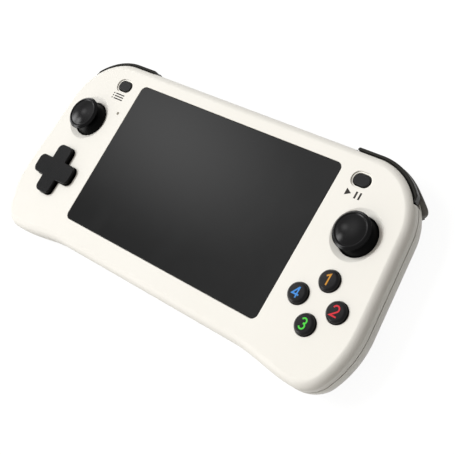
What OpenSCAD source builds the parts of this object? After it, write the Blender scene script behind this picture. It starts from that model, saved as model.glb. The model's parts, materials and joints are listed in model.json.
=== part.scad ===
// Handheld game console lying on its back. X runs to the right, Y to the top edge, Z out of the screen.
// The origin lies on the flat rear face, straight below the centre of the screen.

/* [Body] */
// Width across the two grips, the widest line of the body
body_w = 191.5; // [190:0.5:196]
// Thickness from the flat rear face to the front face
body_t = 17.5; // [17:0.5:20]
// Height of the top edge above the screen centre
top_y = 40.6; // [40.2:0.2:42]
// Depth of the straight bottom edge below the screen centre
waist_y = 43.7; // [43:0.1:46]
// How far each grip reaches below the straight bottom edge
grip_drop = 3; // [2:0.1:4]
// Radius of the top corners
top_r = 25.7; // [24.5:0.1:27]
// Radius of the bottom corners at the grips
bottom_r = 12; // [10.5:0.5:14]
// Radius of the swelling side above each bottom corner
side_r = 40; // [36:1:44]
// Angle by which each side leans in towards the top
side_lean = 5.2; // [4:0.1:6]
// Angle where the swelling side turns into the bottom corner
corner_turn = 27; // [24:0.5:30]
// Distance from the middle to the start of each grip along the bottom edge
grip_x = 49.6; // [44:0.2:54]
// Radius of the rounded front edge
front_round = 3.2; // [2.6:0.1:3.8]
// Depth of the seam between the two shells below the front face
front_depth = 5.85; // [5.6:0.05:6.2]
// Width of the rounded rear edge, seen from behind
rear_round = 6.8; // [6:0.1:7.6]
// Thickness of the front wall
front_wall = 2; // [1.8:0.1:2.2]
// Thickness of the side walls
side_wall = 2.4; // [2.2:0.1:2.8]
// Thickness of the rear wall
rear_wall = 1.8; // [1.5:0.1:2.2]
// Visible gap at the seam
seam_gap = 0.25; // [0.1:0.05:0.4]

/* [Screen] */
// Width of the screen lens
lens_w = 110.2; // [104:0.2:111]
// Height of the screen lens
lens_h = 66; // [60:0.2:67]
// Corner radius of the screen lens
lens_r = 2.4; // [1:0.1:5]
// Thickness of the screen lens
lens_t = 1; // [0.7:0.05:1.2]
// Width of the ledge that the lens is glued to
lens_ledge = 1.1; // [0.8:0.1:2]
// Thickness of the adhesive frame below the lens
adhesive_t = 0.15; // [0.1:0.05:0.3]
// How far the display panel reaches past the lens on each side
panel_margin = 0.9; // [0.5:0.1:1.2]
// Thickness of the display panel
panel_t = 2.7; // [2:0.1:3.2]
// Thickness of the foam gasket above the display panel
gasket_t = 0.3; // [0.2:0.05:0.5]

/* [Sticks] */
// Distance of each stick from the middle
stick_x = 74.6; // [73:0.2:77]
// Height of each stick above the screen centre
stick_y = 10.7; // [8:0.2:12]
// Diameter of the stick cap
cap_d = 15.2; // [13.6:0.2:15.6]
// Height of the cap rim above the front face
cap_rise = 5.2; // [4.8:0.1:6.5]
// Height of the cap from its underside to its rim
cap_t = 2.9; // [2.4:0.1:3]
// Diameter of the dish in the front face
socket_d = 20.8; // [19:0.2:22]
// Diameter of the hole at the bottom of the dish
throat_d = 16.2; // [16:0.1:17]
// Depth of the dish
dish_depth = 1.4; // [0.8:0.1:1.6]
// Depth of the tilt centre below the front face
pivot_depth = 6.4; // [6:0.1:6.8]
// Radius of the stick post
post_r = 1.5; // [1.3:0.1:1.7]

/* [Direction pad and face buttons] */
// Distance of the pad and of the button group from the middle
pad_x = 74.6; // [74:0.2:76]
// Depth of the pad and of the button group below the screen centre
pad_y = 17; // [16:0.2:18]
// Length of the pad from tip to tip
pad_span = 22.2; // [19:0.2:22.6]
// Width of each arm of the pad
pad_arm = 7.8; // [6.4:0.1:8.2]
// Height of the pad above the front face
pad_rise = 2.5; // [1.5:0.1:4]
// Diameter of each face button
button_d = 8; // [7:0.1:9]
// Distance of each face button from the middle of its group
button_ring = 8.8; // [8.5:0.1:9.6]
// Height of the face buttons above the front face
button_rise = 1.9; // [1.6:0.1:3]

/* [Menu buttons] */
// Distance of each menu button from the middle
menu_x = 65.3; // [64.5:0.1:67]
// Height of each menu button above the screen centre
menu_y = 29.9; // [28.5:0.1:30]
// Length of each menu button
menu_l = 7.2; // [6:0.1:7.4]
// Width of each menu button
menu_w = 4.6; // [3.6:0.1:4.8]
// Margin of the shallow recess round each menu button
menu_margin = 0.8; // [0.4:0.1:1]

/* [Shoulders] */
// Distance from the middle to the inner end of the shoulder buttons
shoulder_x = 56; // [55:0.5:57]
// Angle on the top corner where the bumper ends
bumper_end = 41; // [39:0.5:44]
// Angle on the top corner where the trigger ends
trigger_end = 29; // [27:0.5:33]
// How far the bumper stands out from the body
bumper_proud = 1.3; // [0.8:0.1:2]
// How far the trigger stands out from the body
trigger_proud = 1.6; // [1:0.1:2]
// Depth of the bumper front edge below the front face
bumper_depth = 2.2; // [2:0.1:2.6]
// Distance of the hinge pin from the middle
pin_x = 59.3; // [59:0.1:59.6]
// Height of the hinge pin above the screen centre
pin_y = 32.8; // [32.6:0.1:33]
// Radius of the hinge pin
pin_r = 0.9; // [0.7:0.05:1]

/* [Top edge] */
// Place of the charging port along the top edge
usb_x = 0; // [-2:0.5:2]
// Place of the headphone jack along the top edge
jack_x = 20; // [18:0.5:24]
// Place of the card slot along the top edge
card_x = -20; // [-24:0.5:-18]
// Place of the power key along the top edge
power_x = -42; // [-44:0.5:-40]
// Place of the middle of the two volume keys along the top edge
volume_x = 40; // [36:0.5:41]
// Length of each key on the top edge
key_l = 7; // [5:0.5:8]
// Height of each key on the top edge
key_h = 2.6; // [2:0.1:2.8]
// Radius of the headphone jack bore
jack_r = 1.8; // [1.75:0.05:1.85]

/* [Inside] */
// Depth of the upper face of the main board below the front face
board_depth = 9.4; // [9.2:0.1:9.6]
// Thickness of the main board
board_t = 1; // [0.8:0.1:1.2]
// Width of the battery
battery_w = 88; // [60:1:92]
// Height of the battery
battery_h = 50; // [30:1:54]
// Thickness of the battery
battery_t = 4.4; // [3:0.1:4.6]
// Radius of the screw posts
boss_r = 2.4; // [2.1:0.1:2.6]

/* [Fits and travel] */
// Play of a shaft in its bore, on the radius
run_fit = 0.05; // [0.03:0.01:0.08]
// Gap round a button in its opening
button_gap = 0.35; // [0.25:0.05:0.45]
// Gap round the direction pad in its opening
pad_gap = 0.55; // [0.5:0.05:0.7]
// Gap round the lens in its seat
lens_gap = 0.15; // [0.1:0.05:0.3]
// Gap between a shoulder button and the shells
shoulder_gap = 0.35; // [0.3:0.05:0.5]
// Gap between the end of a shoulder button and the shell, for its swing
end_gap = 1.1; // [1:0.05:1.3]
// Travel of the face buttons
button_travel = 1.2; // [0.8:0.1:1.2]

/* [Hidden] */

shell_color = "#f2eee3";
dark_color = "#3a3a3b";
black_color = "#1d1d1e";
steel_color = "#b9bcc0";
board_color = "#1f5a3c";
rubber_color = "#8d8f93";

eps = 0.05;
fine = 64;
small = 32;

// Levels
front_z = body_t;
under_z = front_z - front_wall;
seam_z = front_z - front_depth;
board_top = front_z - board_depth;
board_low = board_top - board_t;
pivot_z = front_z - pivot_depth;

// Outline of the body: a top corner, a leaning side that swells, a tighter bottom corner, then a smooth step
grip_low = -waist_y - grip_drop;
side_cx = body_w / 2 - side_r;
side_cy = grip_low + bottom_r + (side_r - bottom_r) * sin(corner_turn);
bot_cx = side_cx + (side_r - bottom_r) * cos(corner_turn);
bot_cy = side_cy - (side_r - bottom_r) * sin(corner_turn);
top_cy = top_y - top_r;
side_l = (top_cy - side_cy - (side_r - top_r) * sin(side_lean)) / cos(side_lean);
top_cx = side_cx + (side_r - top_r) * cos(side_lean) - side_l * sin(side_lean);
top_steps = 14;
side_steps = 6;
bottom_steps = 8;
step_steps = 10;

function arc_points(cx, cy, r, a0, a1, n, first = 0) = [
    for (i = [first:n])
        let (a = a0 + (a1 - a0) * i / n)
        [cx + r * cos(a), cy + r * sin(a), cos(a), sin(a)]
];

// Bottom edge from the grip to the waist, with its outward normals
function step_points(n) = [
    for (i = [1:n])
        let (u = 180 * i / n)
        let (slope = grip_drop / 2 * sin(u) * PI / (grip_x - bot_cx))
        let (k = sqrt(1 + slope * slope))
        [
            bot_cx + (grip_x - bot_cx) * i / n,
            -waist_y - grip_drop * (1 + cos(u)) / 2,
            slope / k,
            -1 / k
        ]
];

half_outline = concat(
    [[0, top_y, 0, 1]],
    arc_points(top_cx, top_cy, top_r, 90, side_lean, top_steps),
    arc_points(side_cx, side_cy, side_r, side_lean, -corner_turn, side_steps),
    arc_points(bot_cx, bot_cy, bottom_r, -corner_turn, -90, bottom_steps, 1),
    step_points(step_steps)
);

outline = concat(
    half_outline,
    [for (i = [len(half_outline) - 1:-1:1])
        [-half_outline[i][0], half_outline[i][1], -half_outline[i][2], half_outline[i][3]]]
);

module outline_area(inset) {
    polygon([for (p = outline) [p[0] - p[2] * inset, p[1] - p[3] * inset]]);
}

// Solid through a stack of outlines, each given as [inset, z] from the lowest up
module loft(rings) {
    n = len(outline);
    m = len(rings);
    points = [
        for (r = rings, p = outline)
            [p[0] - p[2] * r[0], p[1] - p[3] * r[0], r[1]]
    ];
    low_cap = [concat([0], [for (i = [n - 1:-1:1]) i])];
    high_cap = [[for (i = [0:n - 1]) (m - 1) * n + i]];
    sides = [
        for (k = [0:m - 2], i = [0:n - 1], half = [0, 1])
            let (j = (i + 1) % n)
            half == 0
                ? [k * n + i, k * n + j, (k + 1) * n + j]
                : [k * n + i, (k + 1) * n + j, (k + 1) * n + i]
    ];
    polyhedron(points, concat(low_cap, high_cap, sides), convexity = 6);
}

round_steps = 6;

front_rings = concat(
    [[0, seam_z + seam_gap / 2]],
    [for (i = [0:round_steps])
        let (a = 90 * i / round_steps)
        [front_round * (1 - cos(a)), front_z - front_round + front_round * sin(a)]]
);

rear_rings = [
    for (i = [round_steps:-1:0])
        let (a = 90 * i / round_steps)
        [rear_round * (1 - cos(a)), (seam_z - seam_gap / 2) * (1 - sin(a))]
];

rear_hollow = concat(
    [for (i = [round_steps:-1:0])
        let (a = 90 * i / round_steps)
        [side_wall + rear_round * (1 - cos(a)), seam_z - (seam_z - rear_wall) * sin(a)]],
    [[side_wall, seam_z + 1]]
);

// Solid that follows the body edge, with a section given as [out, z]
module edge_sweep(path, section) {
    n = len(path);
    m = len(section);
    points = [
        for (p = path, s = section)
            [p[0] + p[2] * s[0], p[1] + p[3] * s[0], s[1]]
    ];
    start_cap = [[for (i = [0:m - 1]) i]];
    end_cap = [[for (i = [m - 1:-1:0]) (n - 1) * m + i]];
    sides = [
        for (k = [0:n - 2], i = [0:m - 1], half = [0, 1])
            let (j = (i + 1) % m)
            half == 0
                ? [k * m + i, (k + 1) * m + j, k * m + j]
                : [k * m + i, (k + 1) * m + i, (k + 1) * m + j]
    ];
    polyhedron(points, concat(start_cap, end_cap, sides), convexity = 6);
}

function shoulder_path(x0, a1) = concat(
    [[x0, top_y, 0, 1]],
    arc_points(top_cx, top_cy, top_r, 90, a1, 9)
);

module both_sides() {
    children();
    mirror([1, 0, 0]) children();
}

module left_side() {
    mirror([1, 0, 0]) children();
}

module round_rect(w, h, r) {
    square([w - 2 * r, h], center = true);
    square([w, h - 2 * r], center = true);
    for (sx = [-1, 1], sy = [-1, 1]) {
        translate([sx * (w / 2 - r), sy * (h / 2 - r)])
            circle(r = r, $fn = small);
    }
}

module pill(l, w) {
    square([l - w, w], center = true);
    for (s = [-1, 1]) {
        translate([s * (l - w) / 2, 0])
            circle(r = w / 2, $fn = small);
    }
}

// Screen
lens_seat_z = front_z - lens_t - adhesive_t - 0.05;
window_w = lens_w - 2 * lens_ledge;
window_h = lens_h - 2 * lens_ledge;
panel_w = lens_w + 2 * panel_margin;
panel_h = lens_h + 2 * panel_margin;
panel_top = under_z - gasket_t;
panel_low = panel_top - panel_t;

// Screw posts of the shells
boss_in_x = panel_w / 2 + boss_r + 2;
boss_points = [
    [boss_in_x, 23.5],
    [boss_in_x, -27.5],
    [body_w / 2 - 10, -2.5],
    [bot_cx + 1.2, bot_cy - 1.6]
];
boss_low = 4.1;
screw_r = 0.95;
screw_head_r = 1.9;
screw_head_h = 1.2;
screw_seat = 2.2;
screw_l = 7.4;

// Posts that hold the main board
standoff_r = 2;
standoff_points = [
    [boss_in_x + 0.9, 0],
    [48, -waist_y + side_wall + 3.2]
];
board_screw_r = 0.75;

// Sticks
dome_r = norm([throat_d / 2, pivot_depth - front_wall]) - 0.3;
dome_t = 0.9;
dome_edge = 72;
neck_r = 4.2;
cap_top = front_z + cap_rise;
cap_low = cap_top - cap_t;
cap_r = cap_d / 2;
base_r = 7.4;
base_t = 0.5;
bearing_x = 6.2;
bearing_w = 1.6;
bearing_l = 3.6;
gimbal_pin_r = 0.7;
ring_r = 4.8;
ring_bore = 3.7;
ring_half = 1.05;
hub_r = 2.7;
hub_half = 0.9;

// Direction pad
pad_flange_t = 1;
pad_corner = 2.2;
pad_low = front_z - 4.3;
ball_r = 1.8;
ball_z = front_z - 4.9;
ball_gap = 0.1;
pad_post_r = 2.7;
membrane_r = 12.6;
membrane_t = 0.6;
pad_peg_r = 1.4;
pad_peg_ring = 7.4;
pad_peg_low = pad_low - 1.6;

// Face buttons
flange_over = 0.75;
flange_t = 1;
flange_gap = 0.3;
flange_low = under_z - flange_gap - flange_t;
stem_r = 2.9;
stem_low = flange_low - 3;
dome_pad_top = stem_low - button_travel - 0.25;

// Menu buttons
menu_recess = 0.5;
menu_top = front_z - 0.1;
menu_stem_low = board_top + 2.7;
menu_switch_h = 1.7;

// Shoulders
bumper_front = front_z - bumper_depth;
bumper_rear = seam_z + 0.2;
trigger_front = seam_z - 0.25;
trigger_rear = 0.9;
bumper_in = 1.9;
bumper_bevel = 0.6;
trigger_in = 5;
notch_depth = 6.3;
notch_top = bumper_front + shoulder_gap;
eye_r = 2;
arm_w = 2.8;
bumper_eye_low = bumper_rear + 0.05;
bumper_eye_high = under_z - 1.5;
trigger_eye_low = 3.4;
trigger_eye_high = board_low - 0.3;
pin_low = rear_wall + 0.2;
pin_high = under_z + 0.6;
pin_boss_r = 1.9;
switch_board_y = pin_y + 0.6;
switch_board_t = 0.8;
switch_board_x = pin_x + 3.9;
switch_board_w = top_cx + 7.45 - switch_board_x;
switch_x = switch_board_x + 0.618 * switch_board_w;
switch_face = switch_board_y + switch_board_t + 2;
rib_face = switch_face + 0.75;
trigger_plunger = 1.2;
switch_board_low = rear_wall + 2;
switch_board_high = under_z - 1.2;

// Top edge
key_z = seam_z - 2.3;
key_proud = 0.6;
key_flange = 0.8;
key_flange_low = key_z - key_h / 2 - key_flange + 0.25;
key_wall = side_wall + rear_round * (1 - sqrt(1 - pow((seam_z - key_flange_low) / (seam_z - rear_wall), 2)));
key_in = top_y - key_wall - 0.15;
key_flange_t = 0.9;
key_round = 0.9;
key_gap = 0.2;
volume_step = key_l + 2;
usb_w = 8.94;
usb_h = 3.26;
usb_wall = 0.3;
usb_l = 9;
usb_z = board_low - usb_h / 2;
usb_face = top_y - 1.3;
jack_z = board_low - 1.1;
jack_w = 6.4;
jack_h = 5.2;
jack_collar_r = 2.5;
jack_block_face = top_y - 6.3;
jack_block_l = 10.9;
jack_face = top_y - 2;
jack_l = jack_face - jack_block_face + jack_block_l - 1;
card_w = 14;
card_h = 1.7;
card_l = 15;
card_face = top_y - 4;
card_slot_w = 11.6;
card_slot_h = 0.9;

// Microphone
mic_x = -panel_w / 2 - 4.3;
mic_y = 17.4;
mic_hole_r = 0.5;
mic_r = 2;
mic_h = 1.3;

// Opening for the bumper and trigger of the right side
module shoulder_notch() {
    turn = 180 / PI / top_r;
    edge_sweep(
        shoulder_path(shoulder_x - shoulder_gap, bumper_end - end_gap * turn),
        [[-notch_depth, seam_z - 1], [6, seam_z - 1], [6, notch_top], [-notch_depth, notch_top]]
    );
    edge_sweep(
        shoulder_path(shoulder_x - shoulder_gap, trigger_end - end_gap * turn),
        [[-notch_depth, -1], [6, -1], [6, seam_z], [-notch_depth, seam_z]]
    );
}

module top_edge_holes() {
    translate([usb_x, top_y + 2, usb_z])
        rotate([90, 0, 0])
        linear_extrude(8)
        pill(usb_w + 0.8, usb_h + 0.8);
    translate([jack_x, top_y + 2, jack_z])
        rotate([90, 0, 0])
        cylinder(r = jack_collar_r + 0.2, h = 8, $fn = fine);
    translate([card_x, top_y - 2, board_low - card_h / 2])
        cube([card_slot_w + 1, 8, card_slot_h + 0.9], center = true);
    for (x = [power_x, volume_x - volume_step / 2, volume_x + volume_step / 2]) {
        translate([x, top_y + 2, key_z])
            rotate([90, 0, 0])
            linear_extrude(6)
            round_rect(key_l + 2 * key_gap, key_h + 2 * key_gap, key_round + key_gap);
    }
}

module pad_area(grow) {
    r = pad_corner + grow;
    round_rect(pad_span + 2 * grow, pad_arm + 2 * grow, r);
    round_rect(pad_arm + 2 * grow, pad_span + 2 * grow, r);
}

module button_places() {
    for (a = [0, 90, 180, 270]) {
        translate([button_ring * cos(a), button_ring * sin(a), 0]) children();
    }
}

module front_openings() {
    translate([0, 0, lens_seat_z])
        linear_extrude(front_wall)
        round_rect(lens_w + 2 * lens_gap, lens_h + 2 * lens_gap, lens_r + lens_gap);
    translate([0, 0, under_z - 1])
        linear_extrude(front_wall)
        round_rect(window_w, window_h, lens_r);
    both_sides() {
        translate([stick_x, stick_y, front_z - dish_depth])
            cylinder(r1 = throat_d / 2, r2 = socket_d / 2, h = dish_depth, $fn = fine);
        translate([stick_x, stick_y, front_z - eps])
            cylinder(r = socket_d / 2, h = 1, $fn = fine);
        translate([stick_x, stick_y, under_z - 1])
            cylinder(r = throat_d / 2, h = front_wall, $fn = fine);
        translate([menu_x, menu_y, under_z - 1])
            linear_extrude(front_wall + 2)
            pill(menu_l + 2 * button_gap, menu_w + 2 * button_gap);
        translate([menu_x, menu_y, front_z - menu_recess])
            linear_extrude(menu_recess + 1)
            pill(menu_l + 2 * menu_margin, menu_w + 2 * menu_margin);
    }
    translate([-pad_x, -pad_y, under_z - 1])
        linear_extrude(front_wall + 2)
        pad_area(pad_gap);
    translate([pad_x, -pad_y, under_z - 1])
        button_places()
        cylinder(r = button_d / 2 + button_gap, h = front_wall + 2, $fn = fine);
    translate([mic_x, mic_y, under_z - 1])
        cylinder(r = mic_hole_r, h = front_wall + 2, $fn = small);
}

module front_shell() {
    color(shell_color)
    difference() {
        union() {
            difference() {
                loft(front_rings);
                translate([0, 0, seam_z - 1])
                    linear_extrude(under_z - seam_z + 1)
                    outline_area(side_wall);
            }
            translate([0, 0, seam_z - 0.9])
                linear_extrude(1.6)
                difference() {
                    outline_area(side_wall - 0.85);
                    outline_area(side_wall - 0.05);
                }
            both_sides() {
                for (p = boss_points) {
                    translate([p[0], p[1], boss_low])
                        cylinder(r = boss_r, h = under_z - boss_low + 0.5, $fn = small);
                }
                for (p = standoff_points) {
                    translate([p[0], p[1], board_top])
                        cylinder(r = standoff_r, h = under_z - board_top + 0.5, $fn = small);
                }
                translate([pin_x, pin_y, bumper_eye_high + 0.3])
                    cylinder(r = pin_boss_r, h = under_z - bumper_eye_high, $fn = small);
            }
        }
        front_openings();
        both_sides() {
            shoulder_notch();
            for (p = boss_points) {
                translate([p[0], p[1], boss_low - 1])
                    cylinder(r = screw_r + run_fit, h = 8, $fn = small);
            }
            for (p = standoff_points) {
                translate([p[0], p[1], board_top - 1])
                    cylinder(r = board_screw_r + run_fit, h = 5, $fn = small);
            }
            translate([pin_x, pin_y, pin_high - 4])
                cylinder(r = pin_r + run_fit, h = 4.2, $fn = small);
        }
        top_edge_holes();
    }
}

// Rear wall slots in front of each speaker, and a row of vents
slot_w = 1.4;
slot_l = 11;
slot_step = 3;
vent_count = 7;
vent_y = 22;
speaker_x = body_w / 2 - 23.75;
speaker_y = -19;
speaker_w = 18;
speaker_l = 13;
speaker_h = 4.4;

module rear_shell() {
    color(shell_color)
    difference() {
        union() {
            difference() {
                loft(rear_rings);
                loft(rear_hollow);
            }
            both_sides() {
                for (p = boss_points) {
                    translate([p[0], p[1], 1])
                        cylinder(r = boss_r + 0.7, h = boss_low - 1.1, $fn = small);
                }
                translate([pin_x, pin_y, rear_wall - 0.5])
                    cylinder(r = pin_boss_r, h = trigger_eye_low - rear_wall + 0.2, $fn = small);
                translate([switch_board_x, switch_board_y - 0.2, rear_wall - 0.5])
                    cube([switch_board_w - 5, switch_board_t + 0.2, switch_board_low - rear_wall + 0.5]);
            }
        }
        translate([0, 0, seam_z - 1.05])
            linear_extrude(3)
            difference() {
                outline_area(side_wall - 1);
                outline_area(side_wall + 3);
            }
        both_sides() {
            shoulder_notch();
            for (p = boss_points) {
                translate([p[0], p[1], -1])
                    cylinder(r = screw_head_r + 0.3, h = screw_seat + 1, $fn = small);
                translate([p[0], p[1], 0])
                    cylinder(r = screw_r + 0.2, h = 6, $fn = small);
            }
            translate([pin_x, pin_y, pin_low])
                cylinder(r = pin_r + run_fit, h = 4, $fn = small);
            for (i = [-1.5:1:1.5]) {
                translate([speaker_x, speaker_y + i * slot_step, -1])
                    linear_extrude(rear_wall + 2)
                    pill(slot_l, slot_w);
            }
        }
        for (i = [0:vent_count - 1]) {
            translate([(i - (vent_count - 1) / 2) * slot_step * 1.2, vent_y, -1])
                linear_extrude(rear_wall + 2)
                rotate(90)
                pill(slot_l / 2, slot_w);
        }
        top_edge_holes();
    }
}

module screen_lens() {
    color(black_color)
    translate([0, 0, lens_seat_z + adhesive_t])
        linear_extrude(lens_t)
        round_rect(lens_w, lens_h, lens_r);
}

module lens_adhesive() {
    color(dark_color)
    translate([0, 0, lens_seat_z])
        linear_extrude(adhesive_t)
        difference() {
            round_rect(lens_w - 0.2, lens_h - 0.2, lens_r);
            round_rect(window_w + 0.2, window_h + 0.2, lens_r);
        }
}

module panel_gasket() {
    color(dark_color)
    translate([0, 0, panel_top])
        linear_extrude(gasket_t)
        difference() {
            square([panel_w, panel_h], center = true);
            square([window_w + 0.4, window_h + 0.4], center = true);
        }
}

module display_panel() {
    color(steel_color)
    translate([0, 0, panel_low + panel_t / 2])
        cube([panel_w, panel_h, panel_t], center = true);
}

// Flat ribbon that leaves the back of the panel, turns and lies on the board
ribbon_w = 24;
ribbon_t = 0.25;
ribbon_turn = (panel_low - board_top) / 2;
ribbon_y = -panel_h / 2 - 0.2;
ribbon_l = 7;

module panel_ribbon() {
    color("#a8772c")
    translate([-ribbon_w / 2, 0, 0])
        rotate([90, 0, 90])
        linear_extrude(ribbon_w)
        translate([ribbon_y, board_top + ribbon_turn]) {
            difference() {
                circle(r = ribbon_turn, $fn = fine);
                circle(r = ribbon_turn - ribbon_t, $fn = fine);
                translate([0, -10])
                    square([20, 20]);
            }
            translate([-eps, ribbon_turn - ribbon_t])
                square([ribbon_l, ribbon_t]);
            translate([-eps, -ribbon_turn])
                square([ribbon_l, ribbon_t]);
        }
}

board_inset = 5;
shoulder_clear_y = pin_y - eye_r - 0.6;
tab_x = menu_x - 2.6;
tab_w = 6;
chip_w = 14;
chip_h = 1.2;

module main_board() {
    color(board_color)
    translate([0, 0, board_low])
        linear_extrude(board_t)
        difference() {
            outline_area(board_inset);
            both_sides() {
                translate([shoulder_x - 4, shoulder_clear_y])
                    square([body_w / 2, top_y]);
                for (p = boss_points) {
                    translate([p[0], p[1]])
                        circle(r = boss_r + 0.4, $fn = small);
                }
                for (p = standoff_points) {
                    translate([p[0], p[1]])
                        circle(r = board_screw_r + 0.15, $fn = small);
                }
            }
            translate([jack_x - jack_w / 2 - 0.4, jack_block_face - jack_block_l - 0.4])
                square([jack_w + 0.8, top_y]);
        }
    color(board_color)
    both_sides() {
        translate([tab_x, shoulder_clear_y - 1, board_low])
            cube([tab_w, menu_y + 2.4 - shoulder_clear_y + 1, board_t]);
    }
    color(black_color) {
        translate([-chip_w / 2, -chip_w / 2 - 3, board_top - eps])
            cube([chip_w, chip_w, chip_h]);
        translate([chip_w, -chip_w / 2 - 3, board_top - eps])
            cube([chip_w * 0.7, chip_w * 0.9, chip_h * 0.8]);
    }
}

shield_w = 42;
shield_h = 24;
shield_t = 0.4;
shield_rise = 1.7;

module processor_shield() {
    color(steel_color)
    translate([4, -3, board_top])
        difference() {
            translate([0, 0, shield_rise / 2])
                cube([shield_w, shield_h, shield_rise], center = true);
            translate([0, 0, (shield_rise - shield_t) / 2 - 1])
                cube([shield_w - 2 * shield_t, shield_h - 2 * shield_t, shield_rise - shield_t + 2], center = true);
        }
}

module battery() {
    color("#5b6770")
    translate([0, -4, rear_wall + battery_t / 2])
        cube([battery_w, battery_h, battery_t], center = true);
}

module speaker() {
    translate([speaker_x, speaker_y, rear_wall + speaker_h / 2])
        difference() {
            cube([speaker_w, speaker_l, speaker_h], center = true);
            translate([0, 0, -speaker_h])
                cube([speaker_w - 4, speaker_l - 2, speaker_h * 1.5], center = true);
        }
}

module left_speaker() {
    color(black_color)
    left_side() speaker();
}

module right_speaker() {
    color(black_color)
    speaker();
}

module at_stick() {
    translate([stick_x, stick_y, pivot_z]) children();
}

module stick_base() {
    at_stick()
    difference() {
        union() {
            translate([0, 0, board_top - pivot_z])
                cylinder(r = base_r, h = base_t, $fn = fine);
            for (s = [-1, 1]) {
                translate([s * bearing_x - bearing_w / 2, -bearing_l / 2, board_top - pivot_z])
                    cube([bearing_w, bearing_l, pivot_z - board_top + 1.2]);
            }
            translate([0, 0, board_top - pivot_z])
                cylinder(r = 1.2, h = base_t + 0.5, $fn = small);
        }
        rotate([0, 90, 0])
            cylinder(r = gimbal_pin_r + run_fit, h = 30, center = true, $fn = small);
    }
}

module outer_gimbal() {
    at_stick()
    difference() {
        union() {
            cylinder(r = ring_r, h = 2 * ring_half, center = true, $fn = fine);
            rotate([0, 90, 0])
                cylinder(r = gimbal_pin_r, h = 2 * (bearing_x + 0.7), center = true, $fn = small);
        }
        cylinder(r = ring_bore, h = 4, center = true, $fn = fine);
        rotate([90, 0, 0])
            cylinder(r = gimbal_pin_r + run_fit, h = 30, center = true, $fn = small);
    }
}

module inner_gimbal() {
    at_stick()
    difference() {
        union() {
            cylinder(r = hub_r, h = 2 * hub_half, center = true, $fn = fine);
            rotate([90, 0, 0])
                cylinder(r = gimbal_pin_r, h = 2 * (ring_r - 0.1), center = true, $fn = small);
        }
        cylinder(r = post_r + run_fit, h = 6, center = true, $fn = small);
    }
}

// Domed skirt on a post, with a short neck below the cap
dome_steps = 8;
dome_start = asin(neck_r / dome_r);

module stick_post() {
    outer = [
        for (i = [0:dome_steps])
            let (a = dome_start + (dome_edge - dome_start) * i / dome_steps)
            [dome_r * sin(a), dome_r * cos(a)]
    ];
    inner = [
        for (i = [dome_steps:-1:0])
            let (a = dome_start + (dome_edge - dome_start) * i / dome_steps)
            [(dome_r - dome_t) * sin(a), (dome_r - dome_t) * cos(a)]
    ];
    neck_low = (dome_r - dome_t) * cos(dome_start);
    at_stick() {
        rotate_extrude($fn = fine)
            polygon(concat(
                [[0, neck_low], [0, cap_low - pivot_z], [neck_r, cap_low - pivot_z]],
                outer,
                inner
            ));
        translate([0, 0, -0.5])
            cylinder(r = post_r, h = cap_low - pivot_z + 2, $fn = small);
    }
}

// Cap with a lip, a sloping flank, a thin raised rim and a domed top inside it
rim_r = cap_r - 1.2;
dome_foot = rim_r - 0.6;
dome_rise = 0.7;
dome_sphere = (dome_foot * dome_foot + dome_rise * dome_rise) / (2 * dome_rise);
top_arc = asin(dome_foot / dome_sphere);

module stick_cap() {
    top = [
        for (i = [0:5])
            let (a = top_arc * (1 - i / 5))
            [dome_sphere * sin(a), cap_t + 0.35 - dome_sphere * (1 - cos(a))]
    ];
    translate([stick_x, stick_y, cap_low])
    difference() {
        rotate_extrude($fn = fine)
            polygon(concat(
                [
                    [0, 0],
                    [neck_r + 0.6, 0],
                    [cap_r - 1, cap_t * 0.4],
                    [cap_r - 0.3, cap_t * 0.54],
                    [cap_r, cap_t * 0.61],
                    [cap_r, cap_t * 0.67],
                    [rim_r + 0.3, cap_t - 0.12],
                    [rim_r + 0.1, cap_t],
                    [rim_r - 0.15, cap_t],
                    [rim_r - 0.4, cap_t - 0.35]
                ],
                top
            ));
        translate([0, 0, -1])
            cylinder(r = post_r, h = 2.5, $fn = small);
    }
}

module left_stick_base() {
    color(steel_color)
    left_side() stick_base();
}

module right_stick_base() {
    color(steel_color)
    stick_base();
}

module left_stick_outer_gimbal() {
    color(rubber_color)
    left_side() outer_gimbal();
}

module right_stick_outer_gimbal() {
    color(rubber_color)
    outer_gimbal();
}

module left_stick_inner_gimbal() {
    color(rubber_color)
    left_side() inner_gimbal();
}

module right_stick_inner_gimbal() {
    color(rubber_color)
    inner_gimbal();
}

module left_stick_post() {
    color(black_color)
    left_side() stick_post();
}

module right_stick_post() {
    color(black_color)
    stick_post();
}

module left_stick_cap() {
    color(black_color)
    left_side() stick_cap();
}

module right_stick_cap() {
    color(black_color)
    stick_cap();
}

// Cross that narrows in steps to its top, with a flange below the front wall and four pegs
module direction_pad() {
    flange_grow = 0.9;
    color(dark_color)
    translate([-pad_x, -pad_y, 0])
    difference() {
        union() {
            translate([0, 0, pad_low])
                linear_extrude(front_z + pad_rise * 0.4 - pad_low)
                pad_area(0);
            translate([0, 0, front_z])
                linear_extrude(pad_rise * 0.75)
                pad_area(-0.3);
            translate([0, 0, front_z])
                linear_extrude(pad_rise)
                pad_area(-0.7);
            translate([0, 0, pad_low])
                linear_extrude(pad_flange_t)
                pad_area(flange_grow);
            for (a = [0, 90, 180, 270]) {
                translate([pad_peg_ring * cos(a), pad_peg_ring * sin(a), pad_peg_low])
                    cylinder(r = pad_peg_r, h = pad_low - pad_peg_low + 0.5, $fn = small);
            }
        }
        translate([0, 0, ball_z])
            sphere(r = ball_r + ball_gap, $fn = small);
    }
}

module pad_pivot_ball() {
    color(steel_color)
    translate([-pad_x, -pad_y, ball_z])
        sphere(r = ball_r, $fn = small);
}

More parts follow.
